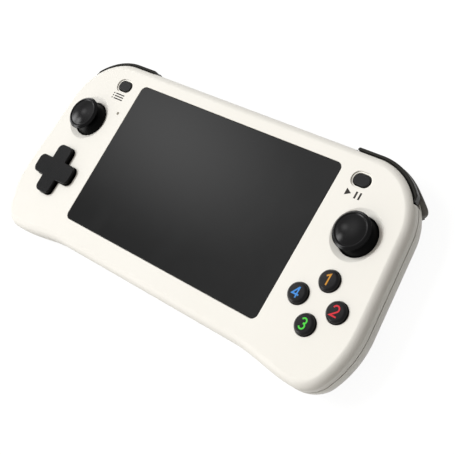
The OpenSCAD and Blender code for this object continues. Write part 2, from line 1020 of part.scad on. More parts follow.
module pad_post() {
    color(rubber_color)
    translate([-pad_x, -pad_y, 0])
    difference() {
        translate([0, 0, board_top])
            cylinder(r = pad_post_r, h = ball_z - 0.6 - board_top, $fn = fine);
        translate([0, 0, ball_z])
            sphere(r = ball_r + ball_gap, $fn = small);
    }
}

module pad_membrane() {
    color(rubber_color)
    translate([-pad_x, -pad_y, board_top])
    difference() {
        union() {
            cylinder(r = membrane_r, h = membrane_t, $fn = fine);
            for (a = [0, 90, 180, 270]) {
                translate([pad_peg_ring * cos(a), pad_peg_ring * sin(a), membrane_t - eps])
                    cylinder(r1 = 2.6, r2 = 2, h = pad_peg_low - 1.2 - board_top - membrane_t, $fn = small);
            }
        }
        translate([0, 0, -1])
            cylinder(r = pad_post_r + 0.3, h = 4, $fn = fine);
    }
}

module face_button(a) {
    color(dark_color)
    translate([pad_x + button_ring * cos(a), -pad_y + button_ring * sin(a), 0]) {
        rotate_extrude($fn = fine)
            polygon([
                [0, stem_low],
                [stem_r, stem_low],
                [stem_r, flange_low],
                [button_d / 2 + flange_over, flange_low],
                [button_d / 2 + flange_over, flange_low + flange_t],
                [button_d / 2, flange_low + flange_t],
                [button_d / 2, front_z + button_rise - 0.6],
                [button_d / 2 - 0.2, front_z + button_rise - 0.2],
                [button_d / 2 - 0.7, front_z + button_rise],
                [0, front_z + button_rise + 0.15]
            ]);
    }
}

module face_button_north() {
    face_button(90);
}

module face_button_east() {
    face_button(0);
}

module face_button_south() {
    face_button(270);
}

module face_button_west() {
    face_button(180);
}

module button_membrane() {
    color(rubber_color)
    translate([pad_x, -pad_y, board_top]) {
        cylinder(r = membrane_r, h = membrane_t, $fn = fine);
        button_places()
            translate([0, 0, membrane_t - eps])
            cylinder(r1 = stem_r + 0.1, r2 = stem_r - 0.5, h = dome_pad_top - board_top - membrane_t + eps, $fn = small);
    }
}

module menu_button() {
    translate([menu_x, menu_y, 0]) {
        translate([0, 0, flange_low])
            linear_extrude(menu_top - flange_low)
            pill(menu_l, menu_w);
        translate([0, 0, flange_low])
            linear_extrude(flange_t)
            pill(menu_l + 1.4, menu_w + 1.4);
        translate([0, 0, menu_stem_low])
            cylinder(r = 1.2, h = flange_low - menu_stem_low + 0.5, $fn = small);
    }
}

module left_menu_button() {
    color(dark_color)
    left_side() menu_button();
}

module right_menu_button() {
    color(dark_color)
    menu_button();
}

module menu_switch() {
    translate([menu_x, menu_y, board_top]) {
        translate([0, 0, 0.6])
            cube([4, 4, 1.2], center = true);
        translate([0, 0, 1])
            cylinder(r = 1, h = menu_switch_h - 1, $fn = small);
    }
}

module left_menu_switch() {
    color(steel_color)
    left_side() menu_switch();
}

module right_menu_switch() {
    color(steel_color)
    menu_switch();
}

// Bumper: a bar along the body edge, an arm to the hinge pin and a rib in front of its switch
module bumper() {
    difference() {
        union() {
            edge_sweep(
                shoulder_path(shoulder_x, bumper_end),
                [
                    [-bumper_in, bumper_rear],
                    [bumper_proud - bumper_bevel, bumper_rear],
                    [bumper_proud, bumper_rear + bumper_bevel],
                    [bumper_proud, bumper_front - bumper_bevel],
                    [bumper_proud - bumper_bevel, bumper_front],
                    [-bumper_in, bumper_front]
                ]
            );
            translate([pin_x - arm_w / 2, pin_y, bumper_eye_low])
                cube([arm_w, top_y - bumper_in - pin_y + 1, bumper_eye_high - bumper_eye_low]);
            translate([pin_x, pin_y, bumper_eye_low])
                cylinder(r = eye_r, h = bumper_eye_high - bumper_eye_low, $fn = small);
            translate([switch_x - 1, rib_face, bumper_eye_low])
                cube([2, top_y - bumper_in - rib_face + 0.6, bumper_eye_high - bumper_eye_low]);
        }
        translate([pin_x, pin_y, 0])
            cylinder(r = pin_r + run_fit, h = 40, $fn = small);
    }
}

// Trigger: a bar that follows the rounded rear edge, with an arm to the same hinge pin
trigger_span = trigger_front - trigger_rear;

module trigger() {
    curve = [
        for (i = [0:5])
            let (a = 78 - 78 * i / 5)
            [trigger_proud - 6 * (1 - cos(a)), trigger_front - trigger_span * sin(a) / sin(78)]
    ];
    difference() {
        union() {
            edge_sweep(
                shoulder_path(shoulder_x, trigger_end),
                concat(
                    [[-trigger_in, trigger_rear]],
                    curve,
                    [[-2.4, trigger_front], [-trigger_in + 0.4, trigger_rear + 2.1]]
                )
            );
            translate([pin_x - arm_w / 2, pin_y, trigger_eye_low])
                cube([arm_w, top_y - 3 - pin_y, trigger_eye_high - trigger_eye_low]);
            translate([pin_x, pin_y, trigger_eye_low])
                cylinder(r = eye_r, h = trigger_eye_high - trigger_eye_low, $fn = small);
        }
        translate([pin_x, pin_y, 0])
            cylinder(r = pin_r + run_fit, h = 40, $fn = small);
    }
}

module shoulder_pin() {
    translate([pin_x, pin_y, pin_low])
        cylinder(r = pin_r, h = pin_high - pin_low, $fn = small);
}

module shoulder_switch(z, reach) {
    translate([switch_x, switch_board_y + switch_board_t - eps, z]) {
        translate([-2, 0, -1.3])
            cube([4, reach * 0.7, 2.6]);
        rotate([-90, 0, 0])
            cylinder(r = 0.9, h = reach + eps, $fn = small);
    }
}

// Upright board with a switch for the bumper and one for the trigger
module shoulder_board() {
    translate([switch_board_x, switch_board_y, switch_board_low])
        cube([switch_board_w, switch_board_t, switch_board_high - switch_board_low]);
    shoulder_switch((bumper_eye_low + bumper_eye_high) / 2, switch_face - switch_board_y - switch_board_t);
    shoulder_switch((trigger_eye_low + trigger_eye_high) / 2 + 0.6, trigger_plunger);
}

module left_bumper() {
    color(dark_color)
    left_side() bumper();
}

module right_bumper() {
    color(dark_color)
    bumper();
}

module left_trigger() {
    color(dark_color)
    left_side() trigger();
}

module right_trigger() {
    color(dark_color)
    trigger();
}

module left_shoulder_pin() {
    color(steel_color)
    left_side() shoulder_pin();
}

module right_shoulder_pin() {
    color(steel_color)
    shoulder_pin();
}

module left_shoulder_board() {
    color(board_color)
    left_side() shoulder_board();
}

module right_shoulder_board() {
    color(board_color)
    shoulder_board();
}

module edge_key(x) {
    color(dark_color) {
        translate([x, top_y + key_proud, key_z])
            rotate([90, 0, 0])
            linear_extrude(top_y + key_proud - key_in + key_flange_t / 2)
            round_rect(key_l, key_h, key_round);
        translate([x, key_in - key_flange_t / 2, key_z])
            cube([key_l + 2 * key_flange, key_flange_t, key_h + 2 * key_flange - 0.5], center = true);
    }
}

module power_key() {
    edge_key(power_x);
}

module volume_up_key() {
    edge_key(volume_x - volume_step / 2);
}

module volume_down_key() {
    edge_key(volume_x + volume_step / 2);
}

key_switch_h = key_z - board_top + 0.3;
key_switch_face = key_in - key_flange_t - 0.6;

module key_switches() {
    color(steel_color)
    for (x = [power_x, volume_x - volume_step / 2, volume_x + volume_step / 2]) {
        translate([x - 2, key_switch_face - 2.6, board_top])
            cube([4, 2.6, key_switch_h]);
    }
}

module charging_port() {
    color(steel_color)
    translate([usb_x, usb_face, usb_z])
        rotate([90, 0, 0]) {
            linear_extrude(usb_l)
                difference() {
                    pill(usb_w, usb_h);
                    pill(usb_w - 2 * usb_wall, usb_h - 2 * usb_wall);
                }
            translate([0, 0, usb_l - 1])
                linear_extrude(1)
                pill(usb_w - usb_wall, usb_h - usb_wall);
            translate([0, 0, 1 + (usb_l - 1.5) / 2])
                cube([6.6, 0.7, usb_l - 1.5], center = true);
        }
}

module headphone_jack() {
    color(black_color)
    difference() {
        union() {
            translate([jack_x - jack_w / 2, jack_block_face - jack_block_l, jack_z - jack_h / 2])
                cube([jack_w, jack_block_l, jack_h]);
            translate([jack_x, jack_face, jack_z])
                rotate([90, 0, 0])
                cylinder(r = jack_collar_r, h = jack_face - jack_block_face + 1, $fn = fine);
        }
        translate([jack_x, jack_face + 1, jack_z])
            rotate([90, 0, 0])
            cylinder(r = jack_r, h = jack_l + 1, $fn = fine);
    }
}

module card_slot() {
    color(steel_color)
    difference() {
        translate([card_x - card_w / 2, card_face - card_l, board_low - card_h])
            cube([card_w, card_l, card_h]);
        translate([card_x, card_face, board_low - card_h / 2])
            cube([card_slot_w, 2 * card_l - 2, card_slot_h], center = true);
    }
}

module microphone() {
    color(steel_color)
    translate([mic_x, mic_y, under_z - mic_h])
        cylinder(r = mic_r, h = mic_h, $fn = small);
}

module case_screw() {
    translate([0, 0, screw_seat - eps])
        cylinder(r = screw_r, h = screw_l, $fn = small);
    difference() {
        translate([0, 0, screw_seat - screw_head_h])
            cylinder(r = screw_head_r, h = screw_head_h, $fn = small);
        for (a = [0, 90]) {
            rotate(a)
                translate([0, 0, screw_seat - screw_head_h])
                cube([2.2, 0.5, 1.2], center = true);
        }
    }
}

module case_screws() {
    color(steel_color)
    both_sides() {
        for (p = boss_points) {
            translate([p[0], p[1], 0]) case_screw();
        }
    }
}

module board_screws() {
    color(steel_color)
    both_sides() {
        for (p = standoff_points) {
            translate([p[0], p[1], board_low - 0.9])
                cylinder(r = 1.5, h = 0.9, $fn = small);
            translate([p[0], p[1], board_low - eps])
                cylinder(r = board_screw_r, h = 4, $fn = small);
        }
    }
}

front_shell();
rear_shell();
screen_lens();
lens_adhesive();
panel_gasket();
display_panel();
panel_ribbon();
main_board();
processor_shield();
battery();
left_speaker();
right_speaker();
left_stick_base();
left_stick_outer_gimbal();
left_stick_inner_gimbal();
left_stick_post();
left_stick_cap();
right_stick_base();
right_stick_outer_gimbal();
right_stick_inner_gimbal();
right_stick_post();
right_stick_cap();
direction_pad();
pad_pivot_ball();
pad_post();
pad_membrane();
face_button_north();
face_button_east();
face_button_south();
face_button_west();
button_membrane();
left_menu_button();
right_menu_button();
left_menu_switch();
right_menu_switch();
left_bumper();
right_bumper();
left_trigger();
right_trigger();
left_shoulder_pin();
right_shoulder_pin();
left_shoulder_board();
right_shoulder_board();
power_key();
volume_up_key();
volume_down_key();
key_switches();
charging_port();
headphone_jack();
card_slot();
microphone();
case_screws();
board_screws();
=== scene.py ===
# %% [markdown]
# # A handheld game console
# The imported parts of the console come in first, as a fixed frame in metres: X runs to the right, Y to the
# top edge and Z out of the screen. Every piece below is built in that same frame, so nothing has to be
# fitted by eye, and a piece that shows in place of a part stays exactly where the part is.

# %% Load the parts
import json
import math
from math import cos, sin, pi, radians

import bpy
import bmesh
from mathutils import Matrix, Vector

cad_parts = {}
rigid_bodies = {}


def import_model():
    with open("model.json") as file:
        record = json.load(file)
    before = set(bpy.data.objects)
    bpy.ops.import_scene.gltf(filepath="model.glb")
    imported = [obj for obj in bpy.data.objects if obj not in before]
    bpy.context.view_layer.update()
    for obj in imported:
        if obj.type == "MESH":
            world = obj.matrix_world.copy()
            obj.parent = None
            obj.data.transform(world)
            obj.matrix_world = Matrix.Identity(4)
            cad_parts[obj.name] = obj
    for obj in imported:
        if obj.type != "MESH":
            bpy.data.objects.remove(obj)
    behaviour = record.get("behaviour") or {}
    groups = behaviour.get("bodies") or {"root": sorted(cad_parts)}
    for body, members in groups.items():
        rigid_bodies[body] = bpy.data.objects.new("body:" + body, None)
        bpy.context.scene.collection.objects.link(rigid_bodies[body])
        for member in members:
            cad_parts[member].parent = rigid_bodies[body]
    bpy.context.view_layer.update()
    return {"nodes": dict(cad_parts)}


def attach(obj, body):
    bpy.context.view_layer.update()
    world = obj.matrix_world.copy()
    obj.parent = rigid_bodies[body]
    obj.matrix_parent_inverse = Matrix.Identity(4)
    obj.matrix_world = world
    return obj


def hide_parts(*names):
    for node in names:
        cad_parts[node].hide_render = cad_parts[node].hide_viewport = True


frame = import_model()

scene = bpy.context.scene
nodes = frame["nodes"]
MM = 0.001

# %% [markdown]
# ## Camera
# The console is seen from above its right-hand side, with the picture turned so that the top edge climbs to
# the left. A long lens from a short distance gives the mild perspective of a product picture. The place and
# the turn could be found by hand; here they come from matching the corners of the screen.

# %% Camera
CAMERA_PLACE = (0.253402, -0.044005, 0.316206)
CAMERA_TURN = (25.3239, 29.2655, 34.8836)
camera_data = bpy.data.cameras.new("camera")
camera_data.lens, camera_data.sensor_width = 78.3917, 36
camera = bpy.data.objects.new("camera", camera_data)
camera.location = CAMERA_PLACE
camera.rotation_euler = [radians(a) for a in CAMERA_TURN]
scene.collection.objects.link(camera)
scene.camera = camera
scene.view_settings.view_transform = "Standard"
print("camera at", list(camera.location))

# %% [markdown]
# ## Finishes shared by many pieces
# Moulded plastic is never one flat colour: the tool leaves a fine spark-eroded grain, the pigment drifts a
# little, and the gloss drifts with it. A node group holds that once, with a few named values, and each
# material sets its own. The texture runs in object space, so it has the same real size on every piece.

# %% Node helpers
def feed(tree, socket, value):
    """Links an output of another node to the socket, or sets the socket to a plain value."""
    if isinstance(value, bpy.types.NodeSocket):
        tree.links.new(value, socket)
    else:
        socket.default_value = value


def add_node(tree, kind, **inputs):
    """A new node with its inputs fed by name; an underscore in a name stands for a space."""
    made = tree.nodes.new(kind)
    for name, value in inputs.items():
        feed(tree, made.inputs[name.replace("_", " ")], value)
    return made


def math_node(tree, operation, a, b):
    made = tree.nodes.new("ShaderNodeMath")
    made.operation = operation
    for socket, value in zip(made.inputs, (a, b)):
        feed(tree, socket, value)
    return made.outputs[0]


def tint_between(tree, factor, low, high):
    """A colour between two others; sockets 6 and 7 of the mix node are its colours, output 2 the result."""
    mix = tree.nodes.new("ShaderNodeMix")
    mix.data_type = "RGBA"
    for place, value in ((0, factor), (6, low), (7, high)):
        feed(tree, mix.inputs[place], value)
    return mix.outputs[2]


print("node helpers: feed, add_node, math_node, tint_between")

# %% Moulded grain
COLOR, VALUE = "NodeSocketColor", "NodeSocketFloat"
DRIFT_SCALE = 38.0


def new_group(name, ins, outs):
    tree = bpy.data.node_groups.new(name, "ShaderNodeTree")
    for label, kind in ins:
        tree.interface.new_socket(label, in_out="INPUT", socket_type=kind)
    for label, kind in outs:
        tree.interface.new_socket(label, in_out="OUTPUT", socket_type=kind)
    return tree, tree.nodes.new("NodeGroupInput").outputs, tree.nodes.new("NodeGroupOutput").inputs


grain_group, g_in, g_out = new_group(
    "moulded grain",
    [("Tint", COLOR), ("Worn Tint", COLOR), ("Roughness", VALUE), ("Gloss Drift", VALUE),
     ("Grain Scale", VALUE)],
    [("Color", COLOR), ("Roughness", VALUE), ("Height", VALUE)],
)
place_in = grain_group.nodes.new("ShaderNodeTexCoord").outputs["Object"]
drift = add_node(grain_group, "ShaderNodeTexNoise", Vector=place_in, Scale=DRIFT_SCALE, Detail=3.0)
fine = add_node(grain_group, "ShaderNodeTexNoise", Vector=place_in, Scale=g_in["Grain Scale"], Detail=2.0)
drifted_tint = tint_between(grain_group, drift.outputs[0], g_in["Tint"], g_in["Worn Tint"])
grain_group.links.new(drifted_tint, g_out["Color"])
sway = math_node(grain_group, "SUBTRACT", drift.outputs[0], 0.5)
sway = math_node(grain_group, "MULTIPLY", sway, g_in["Gloss Drift"])
grain_group.links.new(math_node(grain_group, "ADD", g_in["Roughness"], sway), g_out["Roughness"])
grain_group.links.new(fine.outputs[0], g_out["Height"])
print("group:", grain_group.name, [s.name for s in grain_group.interface.items_tree])

# %% [markdown]
# ## Polish where thumbs rest
# The upper faces of the sticks, the pad and the buttons are rubbed smooth, while their sides stay dull. Two
# materials on one piece could show that, with a hard line between them. Here a second group measures how far
# a face looks up and gives more of a clear coat the more it does, so the change is soft.

# %% Polish on the upper faces
POLISH_STARTS, POLISH_FULL = 0.45, 0.85
polish_group, p_in, p_out = new_group("upper polish", [("Polish", VALUE)], [("Coat", VALUE)])
facing = polish_group.nodes.new("ShaderNodeTexCoord").outputs["Normal"]
facing_up = add_node(polish_group, "ShaderNodeSeparateXYZ", Vector=facing).outputs["Z"]
upper = add_node(polish_group, "ShaderNodeMapRange", Value=facing_up,
                 From_Min=POLISH_STARTS, From_Max=POLISH_FULL)
polish_group.links.new(math_node(polish_group, "MULTIPLY", upper.outputs[0], p_in["Polish"]), p_out["Coat"])
print("group:", polish_group.name)


# %% A plastic finish from the grain
def tone(r, g, b):
    """A colour given as it looks on the screen, 0 to 255, as the linear colour that a shader takes."""
    lin = [((v / 255 + 0.055) / 1.055) ** 2.4 if v > 10 else v / 255 / 12.92 for v in (r, g, b)]
    return (*lin, 1.0)


def new_finish(name):
    """A new material, its node tree and its main shader."""
    material = bpy.data.materials.new(name)
    material.use_nodes = True
    return material, material.node_tree, material.node_tree.nodes["Principled BSDF"]


def place_group(tree, group, values):
    """Places a group in a material, sets its named values and gives its outputs."""
    placed = tree.nodes.new("ShaderNodeGroup")
    placed.node_tree = group
    for label, value in values.items():
        placed.inputs[label].default_value = value
    return placed.outputs


def cover(tree, shader, group, strength, depth):
    """Colour, roughness and a fine bump of the shader, all three from one group."""
    bump = add_node(tree, "ShaderNodeBump", Height=group["Height"], Strength=strength, Distance=depth * MM)
    tree.links.new(group["Color"], shader.inputs["Base Color"])
    tree.links.new(group["Roughness"], shader.inputs["Roughness"])
    tree.links.new(bump.outputs[0], shader.inputs["Normal"])


def plastic(name, tint, worn, rough, gloss_drift=0.06, grain=2600.0, depth=0.03, specular=0.5, polish=None):
    """Grained plastic; polish is the weight and the roughness of the coat on its upper faces."""
    material, tree, shader = new_finish(name)
    group = place_group(tree, grain_group, {"Tint": tint, "Worn Tint": worn, "Roughness": rough,
                                            "Gloss Drift": gloss_drift, "Grain Scale": grain})
    cover(tree, shader, group, 1.0, depth)
    shader.inputs["Specular IOR Level"].default_value = specular
    if polish:
        weight, polish_rough = polish
        coat = place_group(tree, polish_group, {"Polish": weight})["Coat"]
        tree.links.new(coat, shader.inputs["Coat Weight"])
        shader.inputs["Coat Roughness"].default_value = polish_rough
    return material


print("finish helpers: tone, new_finish, place_group, cover, plastic")

# %% Plastics of the outside
cream = plastic("cream shell plastic", tone(243, 240, 233), tone(239, 236, 228), 0.42)
charcoal = plastic("charcoal button plastic", tone(31, 30, 31), tone(26, 25, 26), 0.34,
                   specular=0.2, polish=(0.6, 0.16))
shoulder_dark = plastic("charcoal shoulder plastic", tone(46, 45, 41), tone(40, 39, 36), 0.42, specular=0.35)
trigger_grey = plastic("grey trigger plastic", tone(138, 136, 132), tone(128, 126, 122), 0.5, specular=0.35)
stick_black = plastic("black stick rubber", tone(11, 10, 11), tone(9, 8, 9), 0.3,
                      grain=3400.0, depth=0.012, specular=0.06, polish=(1.0, 0.12))
pad_black = plastic("black pad plastic", tone(13, 13, 14), tone(10, 10, 11), 0.3,
                    specular=0.08, polish=(0.85, 0.14))
skirt_black = plastic("black stick skirt", tone(8, 8, 8), tone(6, 6, 6), 0.34, specular=0.15)
print("plastics:", len(bpy.data.materials))

# %% [markdown]
# ## The outline of the body
# Seen from the front, the body is a top corner, a side that leans in and swells a little, a tighter bottom
# corner, and a soft step up to the straight bottom edge. Each point carries the direction that faces out,
# so one line gives every level of the body: moving the points in by a few millimetres rounds the edge. A
# bevel modifier could round a plain slab, but it would not keep the two different edges, front and rear.

# %% Sizes of the outline, in millimetres
FRONT_Z, SEAM_Z = 17.5, 11.65
BODY_W, TOP_Y, WAIST_Y, GRIP_DROP, GRIP_X = 191.5, 40.6, 43.7, 3.0, 49.6
TOP_R, BOTTOM_R, SIDE_R = 25.7, 12.0, 40.0
LEAN, TURN = radians(5.2), radians(27)
SIDE_CX = BODY_W / 2 - SIDE_R
SIDE_CY = BOTTOM_R - WAIST_Y - GRIP_DROP + (SIDE_R - BOTTOM_R) * sin(TURN)
BOT_CX = SIDE_CX + (SIDE_R - BOTTOM_R) * cos(TURN)
BOT_CY = SIDE_CY - (SIDE_R - BOTTOM_R) * sin(TURN)
TOP_CY = TOP_Y - TOP_R
side_run = (TOP_CY - SIDE_CY - (SIDE_R - TOP_R) * sin(LEAN)) / cos(LEAN)
TOP_CX = SIDE_CX + (SIDE_R - TOP_R) * cos(LEAN) - side_run * sin(LEAN)
print("body:", BODY_W, "by", TOP_Y + WAIST_Y + GRIP_DROP, "by", FRONT_Z, "mm")


# %% Outline
def arc(cx, cy, r, start, end, steps):
    """Points along an arc, each as x, y and the direction that faces away from the centre."""
    turns = [start + (end - start) * i / steps for i in range(steps + 1)]
    return [(cx + r * cos(a), cy + r * sin(a), cos(a), sin(a)) for a in turns]


def grip_step(i, steps=40):
    """One point of the soft step between the bottom corner and the straight bottom edge."""
    u = pi * i / steps
    slope = GRIP_DROP / 2 * sin(u) * pi / (GRIP_X - BOT_CX)
    k = math.hypot(1, slope)
    x = BOT_CX + (GRIP_X - BOT_CX) * i / steps
    return x, -WAIST_Y - GRIP_DROP * (1 + cos(u)) / 2, slope / k, -1 / k


def body_line():
    half = [(x, TOP_Y, 0.0, 1.0) for x in (0, 14, 28, 42, 55)]
    half += arc(TOP_CX, TOP_CY, TOP_R, pi / 2, LEAN, 40)
    half += arc(SIDE_CX, SIDE_CY, SIDE_R, LEAN, -TURN, 20)
    half += arc(BOT_CX, BOT_CY, BOTTOM_R, -TURN, -pi / 2, 28)[1:]
    half += [grip_step(i) for i in range(1, 41)]
    half += [(x, -WAIST_Y, 0.0, -1.0) for x in (36, 24, 12, 0)]
    return half + [(-x, y, -nx, ny) for x, y, nx, ny in reversed(half[1:-1])]


outline = body_line()
print("outline points:", len(outline))

# %% [markdown]
# ## From rings to pieces
# A moulded piece is a closed skin. Extruding and bevelling by hand would give one too, but a stack of rings
# keeps every level exact: each ring is the outline moved in and set at a height, and faces join each ring to
# the next. Holes are cut with the exact boolean, whose result is kept as plain mesh.

# %% Rings and skins
def ring(line, inset, z, cx=0.0, cy=0.0):
    return [(cx + x - nx * inset, cy + y - ny * inset, z) for x, y, nx, ny in line]


def stack(rings):
    """Closed skin through rings of equal length, with a flat cap on the first and the last."""
    n, m = len(rings[0]), len(rings)
    faces = [(k * n + i, k * n + (i + 1) % n, (k + 1) * n + (i + 1) % n, (k + 1) * n + i)
             for k in range(m - 1) for i in range(n)]
    faces += [tuple(range(n)), tuple(range((m - 1) * n, m * n))]
    return [p for r in rings for p in r], faces


def mirrored(skin):
    return [(-x, y, z) for x, y, z in skin[0]], skin[1]


print("skin helpers: ring, stack, mirrored")


# %% Objects from skins
def solid(name, *skins):
    """An object from one or more closed skins, given in millimetres."""
    points, faces = [], []
    for skin_points, skin_faces in skins:
        faces += [tuple(i + len(points) for i in face) for face in skin_faces]
        points += skin_points
    mesh = bpy.data.meshes.new(name)
    mesh.from_pydata([Vector(p) * MM for p in points], [], faces)
    work = bmesh.new()
    work.from_mesh(mesh)
    bmesh.ops.recalc_face_normals(work, faces=work.faces)
    work.to_mesh(mesh)
    work.free()
    made = bpy.data.objects.new(name, mesh)
    scene.collection.objects.link(made)
    return made


def carve(piece, tool, operation="DIFFERENCE"):
    """Cuts the tool out of the piece, or adds it, and takes the tool away."""
    cut = piece.modifiers.new("cut", "BOOLEAN")
    cut.object, cut.operation, cut.solver = tool, operation, "EXACT"
    result = bpy.data.meshes.new_from_object(piece.evaluated_get(bpy.context.evaluated_depsgraph_get()))
    piece.modifiers.clear()
    old, piece.data = piece.data, result
    bpy.data.meshes.remove(old)
    bpy.data.objects.remove(tool)


print("piece helpers: solid, carve")


# %% Finish and body of a piece
def dress(piece, material, body, *stands_for, slot=None, sharp=38):
    """Smooth shading that keeps edges sharper than an angle, the finish, and the body that it rides on."""
    piece.data.shade_smooth()
    piece.data.set_sharp_from_angle(angle=radians(sharp))
    piece.modifiers.new("even shading", "WEIGHTED_NORMAL").keep_sharp = True
    piece.data.materials.clear()
    piece.data.materials.append(material)
    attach(piece, body)
    if stands_for:
        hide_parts(*stands_for)
    print(piece.name, len(piece.data.polygons), "faces on", body)
    return piece


print("piece helper: dress")

# %% [markdown]
# ## Openings in the front
# The face has holes for the screen, the sticks, the pad, the buttons and the microphone. They could be left
# out when the face is built, but a face round so many holes is hard to mesh. Here each gets a tool with the
# outline of its hole and a small flare where it meets the face, so the cut edge comes out rounded and
# catches a line of light, as a moulded edge does. The tools don't touch each other, so they are one cut.

# %% Outlines of the openings
def circle_line(r, steps=64):
    return arc(0, 0, r, 0, 2 * pi, steps)[:-1]


def rect_line(w, h, r, steps=8):
    line = []
    for i, (sx, sy) in enumerate(((1, 1), (-1, 1), (-1, -1), (1, -1))):
        line += arc(sx * (w / 2 - r), sy * (h / 2 - r), r, i * pi / 2, (i + 1) * pi / 2, steps)
    return line


def pill_line(length, width, steps=20):
    return (arc((length - width) / 2, 0, width / 2, -pi / 2, pi / 2, steps)
            + arc((width - length) / 2, 0, width / 2, pi / 2, 3 * pi / 2, steps))


def cross_line(span, arm, corner, inner, steps=8):
    """A quarter of the cross, turned four times: corner of an arm, inner corner, corner of the next arm."""
    s, w, quarter = span / 2, arm / 2, []
    quarter += arc(s - corner, w - corner, corner, 0, pi / 2, steps)
    quarter += [(x, y, -nx, -ny) for x, y, nx, ny in
                arc(w + inner, w + inner, inner, 3 * pi / 2, pi, 5)]
    quarter += arc(w - corner, s - corner, corner, 0, pi / 2, steps)
    line = []
    for k in range(4):
        c, d = round(cos(k * pi / 2)), round(sin(k * pi / 2))
        line += [(x * c - y * d, x * d + y * c, nx * c - ny * d, nx * d + ny * c)
                 for x, y, nx, ny in quarter]
    return line


print("outlines: circle, rectangle, pill, cross")

# %% Hole tools
TOOL_LOW, TOOL_RISE, OVERCUT = 13.0, 3, 0.12
FLARE_TURNS = [radians(t) for t in (20, 40, 60, 80)]


def hole_tool(line, cx, cy, flare, shoulders=()):
    """Tool for a hole from inside the case up through the face; shoulders are (growth, z) on the way."""
    rings = [ring(line, 0, TOOL_LOW, cx, cy)]
    grown = 0.0
    for growth, z in shoulders:
        rings += [ring(line, -grown, z, cx, cy), ring(line, -growth, z, cx, cy)]
        grown = growth
    rings.append(ring(line, -grown, FRONT_Z - flare, cx, cy))
    for a in FLARE_TURNS:
        rings.append(ring(line, -grown - flare * (1 - cos(a)), FRONT_Z - flare + flare * sin(a), cx, cy))
    wide = -grown - flare - OVERCUT
    rings += [ring(line, wide, FRONT_Z + 0.02, cx, cy), ring(line, wide, FRONT_Z + TOOL_RISE, cx, cy)]
    return stack(rings)


STICK_X, STICK_Y = 74.6, 10.7
OPENING_R = 8.1
DISH = ((OPENING_R, 12.0), (OPENING_R, 15.82), (8.14, 15.98), (8.28, 16.16), (10.2, 17.36), (10.3, 17.42),
        (10.42, 17.47), (10.6, 17.52), (10.6, 20.5))


def stick_dish(side):
    """Tool for the round opening of a stick and the dished ring about it."""
    return stack([ring(circle_line(r, 96), 0, z, side * STICK_X, STICK_Y) for r, z in DISH])


print("dish:", DISH[0], "to", DISH[-1])

# %% Tools for the front face
SIDES = {"left": -1, "right": 1}
PAD_X, PAD_Y, BUTTON_RING = 74.6, -17.0, 8.8
MENU_X, MENU_Y = 65.3, 29.9
MICROPHONE = (-60.3, 17.4)
LENS_SEAT, LENS_LEDGE = FRONT_Z - 1.2, 1.25
RECESS_FLOOR, RECESS_RIM = FRONT_Z - 0.6, 0.55

window, menu_hole = rect_line(w=108.0, h=63.8, r=1.45), pill_line(length=7.9, width=5.3)
pad_hole = cross_line(span=23.3, arm=8.9, corner=2.75, inner=0.45)
button_hole, microphone_hole = circle_line(r=4.35), circle_line(r=0.7, steps=24)

face_tools = [hole_tool(window, 0, 0, flare=0.12, shoulders=((LENS_LEDGE, LENS_SEAT),))]
for side in SIDES.values():
    face_tools.append(stick_dish(side))
    face_tools.append(hole_tool(menu_hole, side * MENU_X, MENU_Y, flare=0.12,
                                shoulders=((RECESS_RIM, RECESS_FLOOR),)))
face_tools.append(hole_tool(pad_hole, -PAD_X, PAD_Y, flare=0.22))
for k in range(4):
    a = k * pi / 2
    bx, by = PAD_X + BUTTON_RING * cos(a), PAD_Y + BUTTON_RING * sin(a)
    face_tools.append(hole_tool(button_hole, bx, by, flare=0.2))
face_tools.append(hole_tool(microphone_hole, *MICROPHONE, flare=0.03))
print("front openings:", len(face_tools))

# %% [markdown]
# ## The shoulder gap
# The bumper and the trigger of each side sit in a gap that follows the top corner. A straight cutter can't
# follow it, so the gap is a section swept along the outline, in two parts: one in front for the bumper, and
# one behind it for the trigger, which reaches a little further round and sinks with the trigger's tip.

# %% Sweep along the top corner
def shoulder_path(x0, end, steps=48):
    straight = [(x0 + (TOP_CX - x0) * i / 6, TOP_Y, 0.0, 1.0) for i in range(6)]
    return straight + arc(TOP_CX, TOP_CY, TOP_R, pi / 2, radians(end), steps)


def sweep(path, section_at):
    """Skin of a section carried along the path; section_at gives its points for each step, as (out, z)."""
    return stack([[(x + nx * o, y + ny * o, z) for o, z in section_at(i)]
                  for i, (x, y, nx, ny) in enumerate(path)])


BUMPER_END, TRIGGER_END = 36.5, 35.0
TIP_RUN, TIP_CURVE = 7.0, 1.5


def tip_line(path, i, high):
    """Upper edge of the trigger at a step of its path: level, then falling away over the tip."""
    left = math.hypot(path[-1][0] - path[i][0], path[-1][1] - path[i][1])
    return high - TIP_RUN * max(0.0, 1 - left / TIP_RUN) ** TIP_CURVE


print("shoulder ends at", BUMPER_END, "and", TRIGGER_END, "degrees")

# %% Gap tools
SWING_ROOM = 0.95
SWING = math.degrees(SWING_ROOM / TOP_R)
GAP_START, GAP_IN, GAP_OUT = 55.65, -6.3, 6
GAP_FOOT, GAP_TOP = SEAM_Z - 2, 15.65


def gap_section(low, high):
    return (GAP_IN, low), (GAP_OUT, low), (GAP_OUT, high), (GAP_IN, high)


def gap_tools(name):
    """The two parts of the gap, each for both sides, with room for the swing of the buttons."""
    path = shoulder_path(GAP_START, BUMPER_END - SWING)
    upper_gap = sweep(path, lambda i: gap_section(GAP_FOOT, GAP_TOP))
    path = shoulder_path(GAP_START, TRIGGER_END - SWING)
    lower_gap = sweep(path, lambda i: gap_section(-1, tip_line(path, i, SEAM_Z)))
    return (solid(name + " upper", upper_gap, mirrored(upper_gap)),
            solid(name + " lower", lower_gap, mirrored(lower_gap)))


print("room for the swing:", round(SWING, 2), "degrees")

